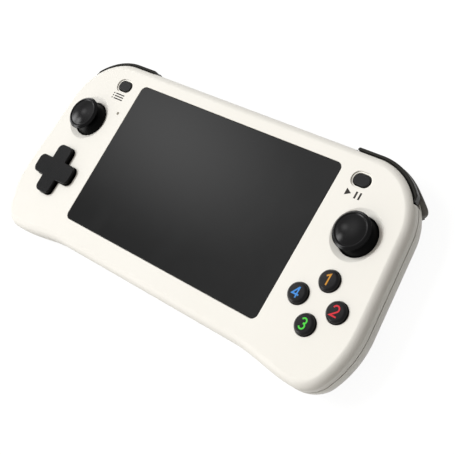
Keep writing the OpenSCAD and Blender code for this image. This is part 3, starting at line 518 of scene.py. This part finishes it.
# %% [markdown]
# ## Front shell
# The front is one moulded tray: a flat face, a soft edge of about three millimetres, a short wall down to
# the seam, and a thin lip inside that reaches into the rear shell and closes the seam to light. The edge is
# a little flatter than a quarter circle, which a power just above one gives. All of it is one stack of
# rings, from the inside of the face, down the inner wall, round the lip and up the outside.

# %% Front shell
SEAM_GAP = 0.2
CEILING_Z, WALL, LIP_IN, LIP_DROP = 15.5, 2.4, 1.6, 0.9
EDGE_R, EDGE_POWER, EDGE_STEPS = 3.2, 1.25, 20


def front_shell_skin():
    low, foot = SEAM_Z + SEAM_GAP, SEAM_Z - LIP_DROP
    levels = [(WALL, CEILING_Z), (WALL, foot), (LIP_IN, foot), (LIP_IN, low), (0.08, low), (0.0, low + 0.08)]
    for i in range(EDGE_STEPS):
        a = pi / 2 * i / EDGE_STEPS
        inset = EDGE_R * (1 - cos(a) ** EDGE_POWER)
        levels.append((inset, FRONT_Z - EDGE_R + EDGE_R * sin(a) ** EDGE_POWER))
    levels.append((EDGE_R, FRONT_Z))
    return stack([ring(outline, inset, z) for inset, z in levels])


front_shell = solid("front_shell_skin", front_shell_skin())
carve(front_shell, solid("front tools", *face_tools))
for tool in gap_tools("front gap"):
    carve(front_shell, tool)
dress(front_shell, cream, "console", "front_shell", slot="shell")

# %% [markdown]
# ## Rear shell
# The rear is a deeper tray whose edge rolls in a long quarter ellipse down to the flat back. It carries the
# openings of the top edge, the slots in front of the speakers, the vents and the eight screw wells. A groove
# just inside its rim keeps light out of the seam, which would vanish between two pale walls without it. The
# shape is again a stack of rings, because the roll needs its own curve, which a bevel doesn't give.

# %% Openings of the top edge
def along_y(line, cx, cz, y0, y1, flare=0.0):
    """Tool or bar along Y with the outline in the X and Z directions."""
    rings = [[(cx + x, y, cz + z) for x, z, _, _ in line] for y in (y0, y1 - flare)]
    for t in (30, 60, 90) if flare else ():
        a = radians(t)
        pull = flare * (1 - cos(a))
        rings.append([(cx + x - nx * pull, y1 - flare + flare * sin(a), cz + z - nz * pull)
                      for x, z, nx, nz in line])
    return stack(rings)


KEY_Z, KEYS = SEAM_Z - 2.3, {"power": -42.0, "volume_up": 35.5, "volume_down": 44.5}
PORT_BACK, KEY_BACK, TOOL_END = 34, 36, 43
port_holes = {  # the outline, then x and z of its middle
    "charging": (pill_line(length=9.74, width=4.06), 0, 5.47),
    "headphones": (circle_line(r=2.7), 20, 6.0),
    "card": (rect_line(w=12.6, h=1.8, r=0.5), -20, 6.25),
}
key_hole = rect_line(w=7.4, h=3.0, r=1.1)
rear_tools = [along_y(line, x, z, PORT_BACK, TOOL_END) for line, x, z in port_holes.values()]
rear_tools += [along_y(key_hole, x, KEY_Z, KEY_BACK, TOOL_END) for x in KEYS.values()]
print("openings of the top edge:", len(rear_tools))

# %% Openings of the back
SCREWS = [(s * x, y) for x, y in ((60.4, 23.5), (60.4, -27.5), (85.75, -2.5), (BOT_CX + 1.2, BOT_CY - 1.6))
          for s in (-1, 1)]
SCREW_WELL = ((2.45, -1), (2.45, -0.02), (2.31, 0.08), (2.2, 0.25), (2.2, 2.2), (1.15, 2.2), (1.15, 5))
SPEAKER_X, SPEAKER_Y, SPEAKER_STEP = 72, -19, 3
VENT_Y, VENT_STEP = 22, 3.6


def back_hole(line, cx, cy, edge=0.2, top=4.0):
    """Tool for a hole through the back with a softened outer edge."""
    levels = ((-edge - 0.02, -1), (-edge - 0.02, -0.02), (-edge * 0.45, edge * 0.3), (0, edge), (0, top))
    return stack([ring(line, inset, z, cx, cy) for inset, z in levels])


rear_tools += [stack([ring(circle_line(r, 40), 0, z, x, y) for r, z in SCREW_WELL]) for x, y in SCREWS]
speaker_slot = pill_line(length=11, width=1.4, steps=10)
rear_tools += [back_hole(speaker_slot, s * SPEAKER_X, SPEAKER_Y + SPEAKER_STEP * i)
               for s in (-1, 1) for i in (-1.5, -0.5, 0.5, 1.5)]
vent = [(y, x, ny, nx) for x, y, nx, ny in reversed(pill_line(length=5.5, width=1.4, steps=10))]
rear_tools += [back_hole(vent, VENT_STEP * i, VENT_Y) for i in range(-3, 4)]
print("rear openings:", len(rear_tools))

# %% Rear shell
ROLL_IN, ROLL_STEPS, INNER_FALL = 6.8, 18, SEAM_Z - 2.85
LIP_SEAT, GROOVE_DEPTH = SEAM_Z - 1.05, 0.8


def rear_shell_skin():
    high, curl = SEAM_Z - SEAM_GAP, [pi / 2 * i / ROLL_STEPS for i in range(ROLL_STEPS + 1)]
    inner = [(WALL + ROLL_IN * (1 - cos(a)), LIP_SEAT - INNER_FALL * sin(a)) for a in reversed(curl)]
    groove = [(1.4, LIP_SEAT), (1.4, high - GROOVE_DEPTH), (0.22, high - GROOVE_DEPTH)]
    rim = [(0.1, high - 0.05), (0.04, high), (0.0, high - 0.06)]
    outer = [(ROLL_IN * (1 - cos(a)), high - high * sin(a)) for a in curl]
    return stack([ring(outline, inset, z) for inset, z in inner + groove + rim + outer[1:]])


rear_shell = solid("rear_shell_skin", rear_shell_skin())
posts = [stack([ring(circle_line(3.1, 40), 0, z, x, y) for z in (1.0, 4.0)]) for x, y in SCREWS]
carve(rear_shell, solid("screw posts", *posts), "UNION")
carve(rear_shell, solid("rear tools", *rear_tools))
for tool in gap_tools("rear gap"):
    carve(rear_shell, tool)
dress(rear_shell, cream, "console", "rear_shell", slot="shell")

# %% [markdown]
# ## Screen
# The screen is a slab of dark cover glass, glued just below the face. It could be clear glass over a black
# panel, but on a console that is switched off only the dark gloss shows, so the slab is opaque and very
# smooth. Fingers leave faint smears, which show as slow changes of gloss; they are a group with named
# values, so that any other glossy piece could have them too.

# %% Smears
smear_group, s_in, s_out = new_group(
    "finger smears", [("Roughness", VALUE), ("Smear", VALUE), ("Smear Scale", VALUE)],
    [("Roughness", VALUE), ("Mask", VALUE)])
place_in = smear_group.nodes.new("ShaderNodeTexCoord").outputs["Object"]
wave = add_node(smear_group, "ShaderNodeTexNoise", Vector=place_in, Scale=s_in["Smear Scale"],
                Detail=5.0, Distortion=1.4)
band = add_node(smear_group, "ShaderNodeMapRange", Value=wave.outputs[0], From_Min=0.45, From_Max=0.75)
smear_group.links.new(band.outputs[0], s_out["Mask"])
dulled = math_node(smear_group, "MULTIPLY", band.outputs[0], s_in["Smear"])
smear_group.links.new(math_node(smear_group, "ADD", s_in["Roughness"], dulled), s_out["Roughness"])
print("group:", smear_group.name)

# %% Cover glass
cover_glass, tree, shader = new_finish("dark cover glass")
smears = place_group(tree, smear_group, {"Roughness": 0.07, "Smear": 0.03, "Smear Scale": 45.0})
tree.links.new(smears["Roughness"], shader.inputs["Roughness"])
glass_tint = tint_between(tree, smears["Mask"], tone(22, 22, 22), tone(25, 25, 25))
tree.links.new(glass_tint, shader.inputs["Base Color"])
shader.inputs["IOR"].default_value = 1.5
print("glass:", cover_glass.name)

# %% Screen glass
lens_line = rect_line(w=110.2, h=66.0, r=2.4, steps=10)
lens_levels = ((0.0, 16.45), (0.0, 17.3), (0.05, 17.4), (0.16, 17.45))
lens = solid("screen_glass", stack([ring(lens_line, inset, z) for inset, z in lens_levels]))
dress(lens, cover_glass, "console", "screen_lens", slot="lens")

# %% [markdown]
# ## Sticks
# Each stick is a turned shape: a cap with a lip, a sloping flank, a thin raised rim and a shallow dome inside
# it, on a neck that widens into a round skirt. A screw modifier could turn a profile; rings do the same here
# and give the closed skin that the other pieces have. The caps are rubbery with a rubbed top, so they carry
# the fine grain and the polish; the skirts stay dull.

# %% Profile of the cap
def turned(profile, cx, cy, steps=96):
    """Skin of a lathe profile, as (radius, z) from the lower end to the upper; a radius of 0 closes it."""
    return stack([ring(circle_line(max(r, 0.02), steps), 0, z, cx, cy) for r, z in profile])


DOME_FOOT, DOME_TOP, DOME_RISE = 5.8, 23.05, 0.7
DOME_R = (DOME_FOOT ** 2 + DOME_RISE ** 2) / (2 * DOME_RISE)
cap_profile = [
    (0, 19.8), (4.8, 19.8), (6.2, 20.7), (6.6, 20.96), (7.1, 21.22), (7.4, 21.44), (7.55, 21.56),
    (7.6, 21.66), (7.58, 21.76), (7.45, 21.9), (7.2, 22.1), (6.95, 22.34), (6.78, 22.52), (6.66, 22.63),
    (6.52, 22.69), (6.4, 22.7), (6.28, 22.67), (6.16, 22.58), (6.06, 22.46), (5.96, 22.37), (5.88, 22.34)]
for i in range(11):
    a = math.asin(DOME_FOOT / DOME_R) * (1 - i / 10)
    cap_profile.append((DOME_R * sin(a), DOME_TOP - DOME_R * (1 - cos(a))))
print("cap profile points:", len(cap_profile))

# %% Profile of the skirt
PIVOT_Z, CEILING_RISE = 11.1, 4.4
NECK_R, SKIRT_WALL, SKIRT_GAP = 4.2, 0.9, 0.3
SKIRT_R = math.hypot(OPENING_R, CEILING_RISE) - SKIRT_GAP
skirt_start, skirt_end = math.asin(NECK_R / SKIRT_R), radians(72)
bow = [skirt_start + (skirt_end - skirt_start) * i / 20 for i in range(21)]
inner_r = SKIRT_R - SKIRT_WALL
skirt_profile = [(inner_r * sin(a), PIVOT_Z + inner_r * cos(a)) for a in bow]
skirt_profile += [(SKIRT_R * sin(a), PIVOT_Z + SKIRT_R * cos(a)) for a in reversed(bow)]
skirt_profile += [(NECK_R, 19.4), (4.4, 19.82), (0, 19.82)]
print("skirt profile points:", len(skirt_profile))

# %% Sticks
for label, side in SIDES.items():
    cap = solid(label + "_stick_cap_skin", turned(cap_profile, side * STICK_X, STICK_Y))
    dress(cap, stick_black, label + "_stick", label + "_stick_cap", slot="stick_cap", sharp=60)
    skirt = solid(label + "_stick_skirt", turned(skirt_profile, side * STICK_X, STICK_Y))
    dress(skirt, skirt_black, label + "_stick", label + "_stick_post", slot="stick_dome", sharp=60)

# %% [markdown]
# ## Direction pad
# The pad is a cross with rounded arm ends. Above the face it widens a little, and its upper edge is crisp. A
# plain extrusion would miss the widening. Its outline carries outward directions, as the body's does, so the
# shape is again a stack of rings; the flange below the face keeps it in place.

# %% Direction pad
pad_outline = cross_line(span=22.2, arm=7.8, corner=2.2, inner=1.0)
pad_levels = ((-0.9, 13.2), (-0.9, 14.2), (0.0, 14.2), (0.0, 18.4), (-0.1, 18.6), (-0.3, 18.9),
              (-0.41, 19.3), (-0.42, 19.74), (-0.38, 19.87), (-0.29, 19.96), (-0.14, 20.0))
pad_rings = [ring(pad_outline, inset, z, -PAD_X, PAD_Y) for inset, z in pad_levels]
pad = solid("direction_pad_skin", stack(pad_rings))
dress(pad, pad_black, "pad", "direction_pad", slot="buttons")

# %% [markdown]
# ## Face buttons
# Four round buttons with a bevelled edge and a slight crown. Each carries a plain number in its own colour,
# as a thin inlay. A text object could give the number, but its shape would be a font's own; a stroke of even
# width, made as an outline with mitred corners and raised by a hair, is plain and needs no font.

# %% Strokes
def stroke(points, width, low, high, cx, cy, mitre=0.35):
    """Skin of a flat stroke of even width along the points; mitre keeps sharp corners from running out."""
    left, right = [], []
    for i, p in enumerate(points):
        before = Vector(p) - Vector(points[i - 1]) if i else Vector(points[1]) - Vector(p)
        after = Vector(points[i + 1]) - Vector(p) if i < len(points) - 1 else before
        before, after = before.normalized(), after.normalized()
        across = Vector((-before.y - after.y, before.x + after.x)).normalized()
        reach = width / 2 / max(mitre, across.dot(Vector((-before.y, before.x))))
        left.append(Vector(p) + across * reach)
        right.append(Vector(p) - across * reach)
    line = left + right[::-1]
    return stack([[(cx + p.x, cy + p.y, z) for p in line] for z in (low, high)])


def arc_points(cx, cy, r, start, end, steps=14):
    return [(x, y) for x, y, _, _ in arc(cx, cy, r, radians(start), radians(end), steps)]


numbers = {
    1: [[(-1.05, 1.1), (0.3, 2.05), (0.3, -2.15)]],
    2: [arc_points(0, 0.85, 1.22, 168, -40) + [(-1.25, -1.85), (1.4, -1.85)]],
    3: [arc_points(0, 0.97, 1.02, 160, -90), arc_points(0, -0.97, 1.12, 90, -160)],
    4: [[(0.6, 2.0), (-1.4, -0.85), (1.55, -0.85)], [(0.6, 2.15), (0.6, -2.15)]],
}
print("numbers:", list(numbers))

# %% Shape and colours of the buttons
CROWN_R, CROWN_Z, CROWN_RISE = 3.1, 19.36, 0.13
button_profile = [(0, 11.2), (2.9, 11.2), (2.9, 14.2), (4.75, 14.2), (4.75, 15.2), (4.0, 15.2), (4.0, 18.55),
                  (3.98, 18.66), (3.9, 18.77), (3.42, 19.24), (3.35, 19.3), (3.26, 19.34), (CROWN_R, CROWN_Z)]
button_profile += [(CROWN_R * (1 - i / 6), CROWN_Z + CROWN_RISE * (1 - (1 - i / 6) ** 2))
                   for i in range(1, 7)]
buttons = {  # the turn about the middle of the four, the number, and its two tints
    "north": (90, 1, tone(214, 150, 52), tone(204, 140, 46)),
    "east": (0, 2, tone(224, 46, 60), tone(212, 40, 54)),
    "south": (270, 3, tone(84, 224, 72), tone(76, 212, 66)),
    "west": (180, 4, tone(74, 150, 228), tone(66, 142, 220)),
}
print("buttons:", list(buttons))

# %% Buttons and their numbers
STROKE_W, STROKE_LOW, STROKE_HIGH = 0.58, 19.3, 19.515


def paint(name, tint, worn):
    return plastic(name, tint, worn, 0.4, gloss_drift=0.05, grain=4200.0, depth=0.008)


for label, (angle, number, tint, worn) in buttons.items():
    bx, by = PAD_X + BUTTON_RING * cos(radians(angle)), PAD_Y + BUTTON_RING * sin(radians(angle))
    button = solid("face_button_%s_skin" % label, turned(button_profile, bx, by))
    dress(button, charcoal, label + "_button", "face_button_" + label, slot="buttons", sharp=50)
    strokes = [stroke(line, STROKE_W, STROKE_LOW, STROKE_HIGH, bx, by) for line in numbers[number]]
    mark = solid("number_%d" % number, strokes[0])
    for extra in strokes[1:]:
        carve(mark, solid("stroke", extra), "UNION")
    dress(mark, paint("number paint %d" % number, tint, worn), label + "_button")

# %% [markdown]
# ## Menu buttons and their marks
# The two small buttons are pills that sit almost level with the face, each in its shallow recess. Below them
# the face carries small printed marks: three list lines on the left, a triangle and two bars on the right.
# Ink could be painted in a material by place; as thin pieces, the marks keep a clean edge at any distance.

# %% Menu buttons
PILL_TOP, PILL_EDGE, PILL_DRAFT = 17.0, 0.3, 0.14
menu_pill = pill_line(length=7.2, width=4.6)
menu_levels = [(-0.7, 14.2), (-0.7, 15.2), (0, 15.2), (0, 16.6), (PILL_DRAFT, PILL_TOP)]
menu_levels += [(PILL_DRAFT + PILL_EDGE * (1 - cos(a)), PILL_TOP + PILL_EDGE * sin(a))
                for a in (pi / 2 * i / 5 for i in range(1, 6))]
for label, side in SIDES.items():
    pill_rings = [ring(menu_pill, inset, z, side * MENU_X, MENU_Y) for inset, z in menu_levels]
    pill = solid(label + "_menu_button_skin", stack(pill_rings))
    dress(pill, charcoal, label + "_menu", label + "_menu_button", slot="buttons")

# %% Printed marks
LINE_HALF, INK_SUNK, INK_RISE = 0.26, 0.1, 0.012
LIST_PLACE, BARS_PLACE = (-65.7, 24.4), (65.1, 23.9)
ink = paint("dark printing ink", tone(46, 43, 40), tone(54, 51, 47))


def flat_mark(points, cx, cy):
    levels = FRONT_Z - INK_SUNK, FRONT_Z + INK_RISE
    return stack([[(cx + x, cy + y, z) for x, y in points] for z in levels])


def bar(x0, y0, x1, y1):
    return [(x0, y0), (x1, y0), (x1, y1), (x0, y1)]


list_shapes = [bar(x0, y - LINE_HALF, x1, y + LINE_HALF)
               for y in (-1.15, 0, 1.15) for x0, x1 in ((-3.4, -2.7), (-2.0, 3.4))]
bar_shapes = [[(-3.4, -1.4), (-0.9, 0), (-3.4, 1.4)], bar(0.8, -1.4, 1.6, 1.4), bar(2.6, -1.4, 3.4, 1.4)]
dress(solid("list_marks", *[flat_mark(shape, *LIST_PLACE) for shape in list_shapes]), ink, "console")
dress(solid("start_marks", *[flat_mark(shape, *BARS_PLACE) for shape in bar_shapes]), ink, "console")

# %% [markdown]
# ## Shoulder buttons
# A bumper is a bar along the top corner with rounded long edges, and it ends in a ramp. The trigger behind it
# follows the rolled rear edge and ends in a round tip that falls away from the seam. A curve with a bevel
# could carry one section along the corner, but not change it on the way, so both are sections swept along
# the same path as their gap: near an end the section draws in, and along the tip it grows lower.

# %% Sections of the shoulder buttons
def bumper_section(face=0.7, r=0.6, back=-1.9):
    """A bar with two round outer edges and a groove behind the upper one."""
    low, high = SEAM_Z + SEAM_GAP, FRONT_Z - 2.2
    turns = [pi / 2 * i / 5 for i in range(6)]
    corners = [(face + r * cos(a), low + r + r * sin(a)) for a in (-pi / 2 + t for t in turns)]
    corners += [(face + r * cos(a), high - r + r * sin(a)) for a in turns]
    groove = [(0.25, high), (0.12, high - 0.13), (0.12, high - 1.5), (back, high - 1.5)]
    return [(back, low)] + corners + groove


def trigger_section(out=1.6, roll=6, turn=radians(78)):
    """A roll like that of the rear edge, with a round upper edge and a slanting inside."""
    high, low = SEAM_Z - 0.25, 0.9
    curve = [(out - roll * (1 - cos(a)), high - (high - low) * sin(a) / sin(turn))
             for a in (turn * (1 - i / 16) for i in range(17))]
    rounded = [(1.58, high - 0.3), (1.48, high - 0.12), (1.25, high)]
    return [(-5.0, low)] + curve[:-1] + rounded + [(-2.4, high), (-4.6, low + 2.1)]


print("section points:", len(bumper_section()), "and", len(trigger_section()))

# %% Ends of the shoulder buttons
START_R, TIP_R = 0.5, 1.6
RAMP_RUN, RAMP_FALL = 2.3, 1.4


def round_end(left, r):
    """How far a surface draws in, to be round with radius r, when this much is left to the end."""
    return r - math.sqrt(max(0.0, r * r - max(0.0, r - left) ** 2))


def run_to_ends(path, i):
    return (math.hypot(e[0] - path[i][0], e[1] - path[i][1]) for e in (path[0], path[-1]))


def bumper_at(section, path):
    """Section of each step: a small round at the start, and a long ramp at the end, groove and all."""
    def at(i):
        start, left = run_to_ends(path, i)
        pull = max(round_end(start, START_R), RAMP_FALL * max(0.0, 1 - left / RAMP_RUN))
        return [(o - pull if o > 0.3 else min(o, 1.3 - pull), z) for o, z in section]
    return at


def trigger_at(section, path):
    """Section of each step: a small round at the start, and a round tip that falls away; the inside stays."""
    low, high = min(z for _, z in section), max(z for _, z in section)

    def at(i):
        start, left = run_to_ends(path, i)
        pull = max(round_end(start, START_R), round_end(left, TIP_R))
        share = (tip_line(path, i, high) - low) / (high - low)
        return [(o - pull if o > -1 else o, low + (z - low) * share) for o, z in section]
    return at


print("ramp:", RAMP_RUN, "mm, tip:", TIP_RUN, "mm")

# %% Bumpers and triggers
SHOULDER_START = 56


def fine_path(x0, end):
    """Shoulder path with extra steps close to both ends."""
    path = [p for p in shoulder_path(x0, end, 60) if p[0] > x0 + 0.6]
    path = [(x0 + t, TOP_Y, 0.0, 1.0) for t in (0, 0.06, 0.15, 0.3, 0.5)] + path
    last = [radians(end) + t / TOP_R for t in (1.6, 1.2, 0.8, 0.5, 0.3, 0.15, 0.05, 0)]
    path = [p for p in path if math.atan2(p[1] - TOP_CY, p[0] - TOP_CX) > last[0] + 0.005]
    return path + [(TOP_CX + TOP_R * cos(a), TOP_CY + TOP_R * sin(a), cos(a), sin(a)) for a in last]


for kind, section, shaped, end, finish in (
        ("bumper", bumper_section(), bumper_at, BUMPER_END, shoulder_dark),
        ("trigger", trigger_section(), trigger_at, TRIGGER_END, trigger_grey)):
    path = fine_path(SHOULDER_START, end)
    skin = sweep(path, shaped(section, path))
    for label, shape in (("left", mirrored(skin)), ("right", skin)):
        key = solid("%s_%s_skin" % (label, kind), shape)
        dress(key, finish, "%s_%s_key" % (label, kind), "%s_%s" % (label, kind), slot="buttons")

# %% [markdown]
# ## Keys on the top edge
# The power key and the two volume keys stand out of the top edge by about half a millimetre, with soft edges,
# and a flange inside keeps them from falling out. A bevel on a box would do for the outside; the bar helper
# of the openings gives the same soft edge and fits the hole by its own numbers.

# %% Top keys
FLANGE_BACK, FLANGE_FRONT, STEM_BACK, KEY_TOP, KEY_EDGE = 36.52, 37.41, 37.4, 41.2, 0.35
stem_line, flange_line = rect_line(w=7.0, h=2.6, r=0.9), rect_line(w=8.6, h=3.7, r=0.4)
for label, x in KEYS.items():
    stem = along_y(stem_line, x, KEY_Z, STEM_BACK, KEY_TOP, KEY_EDGE)
    flange = along_y(flange_line, x, KEY_Z, FLANGE_BACK, FLANGE_FRONT)
    key = solid(label + "_key_skin", stem, flange)
    dress(key, charcoal, label, label + "_key", slot="buttons")

# %% [markdown]
# ## Parts that stay as they are
# The parts inside the case and the ports keep their own shape. They could be left grey, since little of them
# shows, but a part that is taken out of the case should look like what it is. So they get real finishes:
# steel with a brushed drift, green board lacquer, foam, silicone, and the wrap of the battery.

# %% Brushed drift
BRUSH_STRETCH, BRUSH_DULLING = (1.0, 14.0, 14.0), 0.15
brushed_group, b_in, b_out = new_group(
    "brushed drift", [("Tint", COLOR), ("Dark Tint", COLOR), ("Roughness", VALUE), ("Brush Scale", VALUE)],
    [("Color", COLOR), ("Roughness", VALUE), ("Height", VALUE)])
place_in = brushed_group.nodes.new("ShaderNodeTexCoord").outputs["Object"]
long_way = add_node(brushed_group, "ShaderNodeMapping", Vector=place_in, Scale=BRUSH_STRETCH)
hair = add_node(brushed_group, "ShaderNodeTexNoise", Vector=long_way.outputs[0], Scale=b_in["Brush Scale"],
                Detail=4.0)
brushed_tint = tint_between(brushed_group, hair.outputs[0], b_in["Tint"], b_in["Dark Tint"])
brushed_group.links.new(brushed_tint, b_out["Color"])
lift = math_node(brushed_group, "MULTIPLY", hair.outputs[0], BRUSH_DULLING)
brushed_group.links.new(math_node(brushed_group, "ADD", b_in["Roughness"], lift), b_out["Roughness"])
brushed_group.links.new(hair.outputs[0], b_out["Height"])
print("group:", brushed_group.name)

# %% Finishes of the inner parts and ports
steel, tree, shader = new_finish("plated steel")
brushed = place_group(tree, brushed_group, {"Tint": tone(200, 202, 205), "Dark Tint": tone(172, 174, 178),
                                            "Roughness": 0.28, "Brush Scale": 160.0})
cover(tree, shader, brushed, 0.6, 0.01)
shader.inputs["Metallic"].default_value = 1.0

lacquer = plastic("green board lacquer", tone(34, 92, 62), tone(24, 74, 48), 0.35,
                  gloss_drift=0.1, grain=900.0, depth=0.02)
port_black = plastic("black port plastic", tone(26, 26, 27), tone(20, 20, 21), 0.5)
foam = plastic("black foam", tone(36, 36, 37), tone(26, 26, 27), 0.9,
               gloss_drift=0.05, grain=1500.0, depth=0.15)
film = plastic("panel film", tone(70, 72, 76), tone(62, 64, 68), 0.3)
ribbon = plastic("amber ribbon film", tone(176, 122, 46), tone(160, 108, 38), 0.3)
wrap = plastic("battery wrap", tone(88, 98, 108), tone(78, 88, 98), 0.45)
acetal = plastic("grey acetal", tone(150, 151, 154), tone(140, 141, 144), 0.45)
silicone = plastic("grey silicone", tone(140, 142, 146), tone(128, 130, 134), 0.65)
print("materials:", len(bpy.data.materials))

# %% Finish the parts
finishes = {
    steel: "processor_shield case_screws board_screws charging_port card_slot left_shoulder_pin "
           "right_shoulder_pin pad_pivot_ball left_menu_switch right_menu_switch key_switches "
           "left_stick_base right_stick_base",
    lacquer: "main_board left_shoulder_board right_shoulder_board",
    port_black: "headphone_jack microphone left_speaker right_speaker",
    foam: "lens_adhesive panel_gasket",
    film: "display_panel",
    ribbon: "panel_ribbon",
    wrap: "battery",
    acetal: "pad_post left_stick_outer_gimbal right_stick_outer_gimbal left_stick_inner_gimbal "
            "right_stick_inner_gimbal",
    silicone: "pad_membrane button_membrane",
}
for finish, names in finishes.items():
    for name in names.split():
        nodes[name].data.materials.clear()
        nodes[name].data.materials.append(finish)
print("kept parts:", sum(len(n.split()) for n in finishes.values()))

# %% [markdown]
# ## Floor
# The console lies on a plain white floor. More light would turn a grey floor white, but it would also burn
# out the pale shell. So the floor glows for the camera and in reflections, by most of its brightness, and
# takes the rest from the light that falls on it, which leaves the soft shadow of the body.

# %% Floor
FLOOR_HALF, FLOOR_Z = 3, -0.0002
GLOW_SHARE, GLOW_STRENGTH = 0.84, 1.12
corners = [(sx * FLOOR_HALF, sy * FLOOR_HALF, FLOOR_Z) for sx, sy in ((-1, -1), (1, -1), (1, 1), (-1, 1))]
floor_mesh = bpy.data.meshes.new("floor")
floor_mesh.from_pydata(corners, [], [(0, 1, 2, 3)])
floor = bpy.data.objects.new("floor", floor_mesh)
scene.collection.objects.link(floor)
floor_paint, tree, shader = new_finish("white floor paint")
shader.inputs["Base Color"].default_value = (0.6, 0.6, 0.58, 1)
shader.inputs["Roughness"].default_value = 0.9
shader.inputs["Specular IOR Level"].default_value = 0.0
rays = tree.nodes.new("ShaderNodeLightPath").outputs
mirrored_ray = math_node(tree, "MAXIMUM", rays["Is Glossy Ray"], rays["Is Transmission Ray"])
seen = math_node(tree, "MAXIMUM", rays["Is Camera Ray"], mirrored_ray)
glow = add_node(tree, "ShaderNodeEmission", Color=(1, 1, 1, 1), Strength=GLOW_STRENGTH)
blend = tree.nodes.new("ShaderNodeMixShader")
tree.links.new(math_node(tree, "MULTIPLY", seen, GLOW_SHARE), blend.inputs[0])
tree.links.new(shader.outputs[0], blend.inputs[1])
tree.links.new(glow.outputs[0], blend.inputs[2])
tree.links.new(blend.outputs[0], tree.nodes["Material Output"].inputs["Surface"])
floor_mesh.materials.append(floor_paint)
print("floor", floor.name)

# %% [markdown]
# ## Light
# The console is lit like a product on a table: a soft room that is brighter above and darker to the right
# and behind, one large soft lamp high on the left, and what the floor sends back to the right-hand wall.
# More lamps could draw the reflections, but small ones leave specks on the round rims. So mirrored rays see
# a room of their own, dim, with a few soft boxes placed by direction where the glass and the sticks look.

# %% Room
ROOM_LEVEL, ROOM_LEAST = 0.4, 0.03
ROOM_SLOPE = (0.0, -0.06, 0.48)
DARK_SIDES = (("X", 0.95), ("Y", 0.3))
world = bpy.data.worlds.new("studio")
scene.world = world
world.use_nodes = True
tree = world.node_tree
sky = tree.nodes["Background"]
rays = tree.nodes.new("ShaderNodeLightPath").outputs
way = tree.nodes.new("ShaderNodeTexCoord").outputs["Generated"]
slope = tree.nodes.new("ShaderNodeVectorMath")
slope.operation = "DOT_PRODUCT"
tree.links.new(way, slope.inputs[0])
slope.inputs[1].default_value = ROOM_SLOPE
toward = add_node(tree, "ShaderNodeSeparateXYZ", Vector=way).outputs
room = math_node(tree, "ADD", slope.outputs["Value"], ROOM_LEVEL)
for dark_side, depth in DARK_SIDES:
    shade = math_node(tree, "MULTIPLY", math_node(tree, "MAXIMUM", toward[dark_side], 0.0), depth)
    room = math_node(tree, "SUBTRACT", room, shade)
room = math_node(tree, "MAXIMUM", room, ROOM_LEAST)
print("world:", world.name)

# %% Mirrored room
MIRROR_LEVEL = 0.24
SOFT_BOXES = (  # x and y of the direction, half width, half height, strength
    (-0.673, 0.15, 0.13, 0.121, 0.98),
    (-0.48, 0.22, 0.34, 0.4, 0.42),
    (-0.6, -0.68, 0.4, 0.3, 3.2),
    (-0.86, -0.1, 0.12, 0.22, 3.2),
    (-0.7, -0.13, 0.13, 0.14, 3.4),
)


def soft_box(x, y, wide, tall, strength):
    """A round glow in the mirrored room, about a direction given by its x and y."""
    place = add_node(tree, "ShaderNodeMapping", Vector=way, Location=(-x / wide, -y / tall, 0),
                     Scale=(1 / wide, 1 / tall, 0))
    ball = add_node(tree, "ShaderNodeTexGradient", Vector=place.outputs[0])
    ball.gradient_type = "SPHERICAL"
    edge = add_node(tree, "ShaderNodeMapRange", Value=ball.outputs["Fac"], To_Max=strength)
    edge.interpolation_type = "SMOOTHSTEP"
    return edge.outputs[0]


mirrored_room = MIRROR_LEVEL
for box in SOFT_BOXES:
    mirrored_room = math_node(tree, "ADD", soft_box(*box), mirrored_room)
print("soft boxes:", len(SOFT_BOXES))

# %% [markdown]
# ## Which ray sees what
# A world is one shader, but it can answer each kind of ray in its own way. The camera sees plain white, the
# ground of the picture. Mirrored rays see the room with the soft boxes, and the rays that light the dull
# surfaces see the soft room, a little warm, as light that has been on other walls before.

# %% Answers of the world
PLAIN, WARM = (1, 1, 1, 1), (1.0, 0.94, 0.885, 1)


def choose(switch, off, on):
    """A value that is off where the switch is 0 and on where it is 1."""
    change = math_node(tree, "MULTIPLY", math_node(tree, "SUBTRACT", on, off), switch)
    return math_node(tree, "ADD", change, off)


mirrored_ray = math_node(tree, "MAXIMUM", rays["Is Glossy Ray"], rays["Is Transmission Ray"])
light = choose(mirrored_ray, room, mirrored_room)
tree.links.new(choose(rays["Is Camera Ray"], light, 1.0), sky.inputs["Strength"])
tree.links.new(tint_between(tree, rays["Is Diffuse Ray"], PLAIN, WARM), sky.inputs["Color"])
print("world nodes:", len(tree.nodes))

# %% Lamp
LAMP_PLACE, LAMP_AIM = Vector((-0.5, -0.05, 0.95)), Vector((3, 0, 0))
lamp_data = bpy.data.lights.new("key lamp", "AREA")
lamp_data.shape, lamp_data.size, lamp_data.size_y = "RECTANGLE", 0.6, 0.45
lamp_data.energy, lamp_data.color = 12.9, (0.95, 0.98, 1.0)
key_lamp = bpy.data.objects.new("key lamp", lamp_data)
key_lamp.location = LAMP_PLACE
key_lamp.rotation_euler = (LAMP_AIM - LAMP_PLACE).to_track_quat("-Z", "Y").to_euler()
key_lamp.visible_glossy = False
scene.collection.objects.link(key_lamp)
print("lamp:", key_lamp.name, lamp_data.energy, "W")
